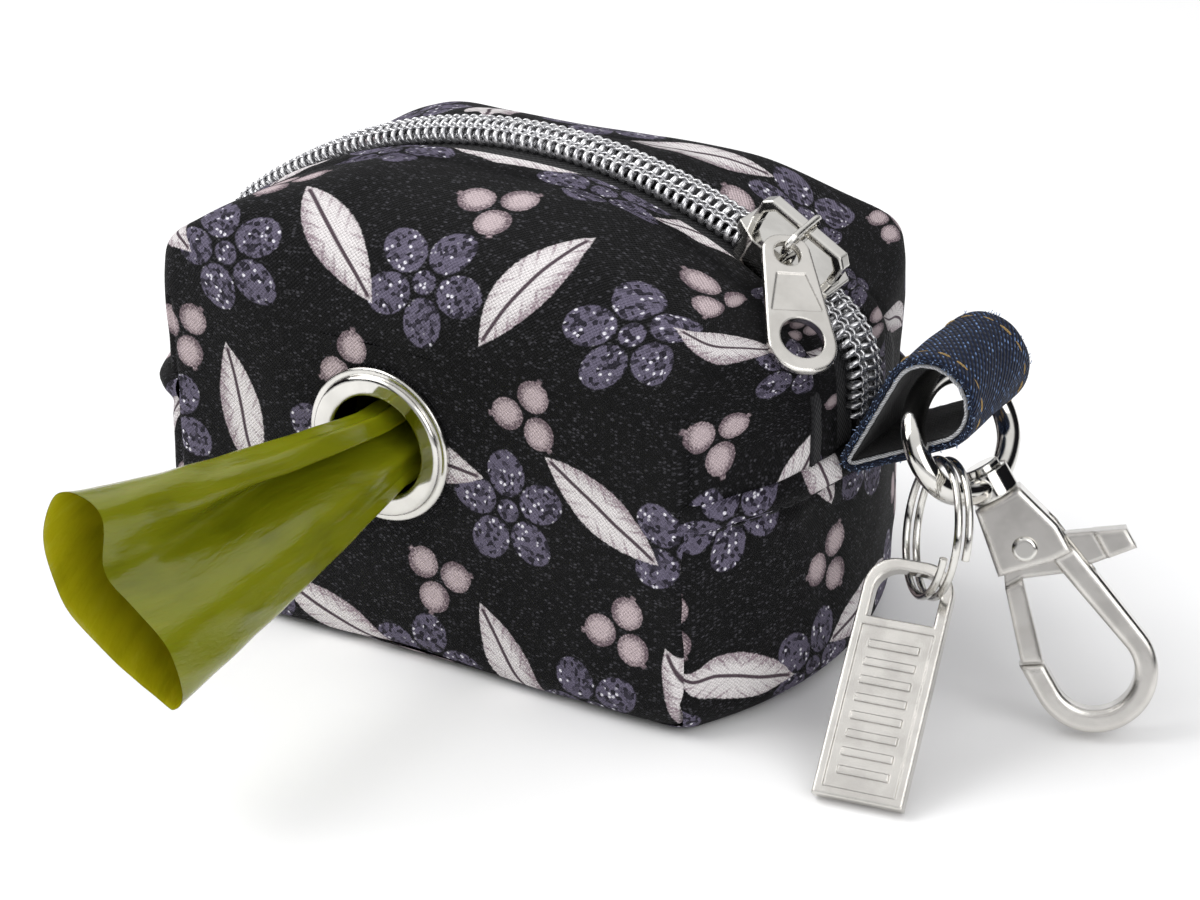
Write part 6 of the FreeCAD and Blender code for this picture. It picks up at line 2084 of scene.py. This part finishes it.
@dataclass(frozen=True)
class Studio:
    """Camera, soft light, white world and pale floor."""

    camera_place: Triple = (214.94, -346.33, 213.26)
    camera_right: Triple = (0.8618, 0.5072, 0.0)
    camera_up: Triple = (-0.2156, 0.3663, 0.9052)
    camera_back: Triple = (0.4592, -0.7801, 0.425)
    lens: float = 88.2
    nearest: float = 20.0
    key_place: Triple = (-480.0, -200.0, 620.0)
    key_size: float = 620.0
    key_power: float = 4.5
    fill_place: Triple = (480.0, -260.0, 320.0)
    fill_size: float = 420.0
    fill_power: float = 1.2
    light_aim: Triple = (10.0, -20.0, 30.0)
    floor_half: float = 900.0
    floor_fade: Pair = (330.0, 800.0)
    floor_paint: str = "#fbfbfb"
    floor_roughness: float = 0.85
    background: str = "#ffffff"
    flag: str = "#1a1a1d"
    flag_reach: Pair = (0.6, 0.74)
    room_tones: tuple[tuple[float, str], ...] = (
        (0.0, "#8a8a8c"), (0.45, "#4c4c50"), (0.56, "#77777b"), (0.74, "#d2d2d4"), (1.0, "#f2f2f2"))
    tent_tones: tuple[tuple[float, str], ...] = (
        (0.0, "#c4c4c6"), (0.5, "#dcdcde"), (0.55, "#c8c8ca"), (0.57, "#161618"), (0.61, "#161618"),
        (0.645, "#e4e4e6"), (1.0, "#ffffff"))

    def put(self, name: str, data: bpy.types.ID, place: Sequence[float], axes: Sequence) -> bpy.types.Object:
        """Puts a camera or lamp at a place, turned to its three axes.

        Args:
            name: the object's name.
            data: the camera or lamp.
            place: where it stands, in mm.
            axes: its right, up and back directions.

        Returns:
            The new object.
        """
        thing = bpy.data.objects.new(name, data)
        bpy.context.scene.collection.objects.link(thing)
        turn = Matrix(axes).transposed().to_4x4()
        thing.matrix_world = Matrix.Translation([value * MM for value in place]) @ turn
        return thing

    def camera(self) -> None:
        """Sets the camera at the photograph's angle."""
        lens = bpy.data.cameras.new("camera")
        lens.lens = self.lens
        lens.clip_start = self.nearest * MM
        axes = (self.camera_right, self.camera_up, self.camera_back)
        bpy.context.scene.camera = self.put("camera", lens, self.camera_place, axes)

    def light(self, name: str, place: Sequence[float], size: float, power: float) -> None:
        """Adds a soft square light that looks at the pouch.

        Args:
            name: the lamp's name.
            place: where it stands, in mm.
            size: its side in mm.
            power: its power in watts.
        """
        lamp = bpy.data.lights.new(name, "AREA")
        lamp.energy = power
        lamp.size = size * MM
        back = unit(np.array(place) - np.array(self.light_aim))
        right = unit(np.cross((0.0, 0.0, 1.0), back))
        self.put(name, lamp, place, (right, np.cross(back, right), back))

    def shaded(self, height: Field, tones: Sequence[tuple[float, str]]) -> Field:
        """A background whose tone changes with a height from zero, straight down, to one, straight up.

        Args:
            height: the height.
            tones: heights with their tones.

        Returns:
            The background as a field.
        """
        tone = height.into("ValToRGB")
        elements = tone.socket.node.color_ramp.elements
        for _ in tones[2:]:
            elements.new(0.5)
        for element, (place, hex_code) in zip(elements, tones):
            element.position = place
            element.color = linear(hex_code)
        return tone.into("Background")

    def world(self) -> None:
        """White for the camera, a white tent with dark flags for reflections, a soft room for the rest."""
        world = bpy.data.worlds.new("studio")
        bpy.context.scene.world = world
        world.use_nodes = True
        tree = world.node_tree
        out = tree.nodes["World Output"]
        tree.nodes.remove(tree.nodes["Background"])
        direction = add(tree, "TexCoord", output="Generated")
        height = direction.into("SeparateXYZ", output="Z").into("MapRange", -1.0)
        aside = direction.into("VectorMath", self.camera_right, operation="DOT_PRODUCT")
        flags = aside.into("Math", operation="ABSOLUTE").ramp(*self.flag_reach)
        dark = add(tree, "Background", linear(self.flag))
        tent = flags.into("MixShader", self.shaded(height, self.tent_tones), dark)
        ray = add(tree, "LightPath", output="Is Glossy Ray")
        room = ray.into("MixShader", self.shaded(height, self.room_tones), tent)
        white = add(tree, "Background", linear(self.background))
        feed(out.inputs["Surface"], ray.other("Is Camera Ray").into("MixShader", room, white))

    def floor(self) -> None:
        """Adds the pale floor, which fades into the white world away from the pouch."""
        mesh = bpy.data.meshes.new("floor")
        half = self.floor_half * MM
        corners = [(-half, -half, 0), (half, -half, 0), (half, half, 0), (-half, half, 0)]
        mesh.from_pydata(corners, [], [(0, 1, 2, 3)])
        recipe = Recipe(bpy.data.materials.new("white painted floor"))
        reach = recipe.add("TexCoord", output="Object").into("VectorMath", operation="LENGTH")
        start, end = (distance * MM for distance in self.floor_fade)
        recipe.shade(Base_Color=linear(self.floor_paint), Roughness=self.floor_roughness,
                     Alpha=reach.ramp(end, start))
        mesh.materials.append(recipe.material)
        thing = bpy.data.objects.new("floor", mesh)
        bpy.context.scene.collection.objects.link(thing)

    def build(self) -> None:
        """Sets up the whole studio."""
        bpy.context.scene.view_settings.view_transform = "Standard"
        self.camera()
        self.light("key", self.key_place, self.key_size, self.key_power)
        self.light("fill", self.fill_place, self.fill_size, self.fill_power)
        self.world()
        self.floor()


def dress_metal() -> None:
    """Gives the metal nodes their finishes."""
    for node, finish in METAL_NODES.items():
        for slot in bpy.data.objects[node].material_slots:
            slot.material = finish.material()


def main() -> None:
    """Builds the scene."""
    logging.basicConfig(level=logging.INFO)
    Studio().build()
    dress_metal()
    ClothPanels().build()
    ZipChain().build()
    DenimLoop().build()
    BagTail().build()
    FilmRoll().build()
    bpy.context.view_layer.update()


if __name__ == "__main__":
    main()
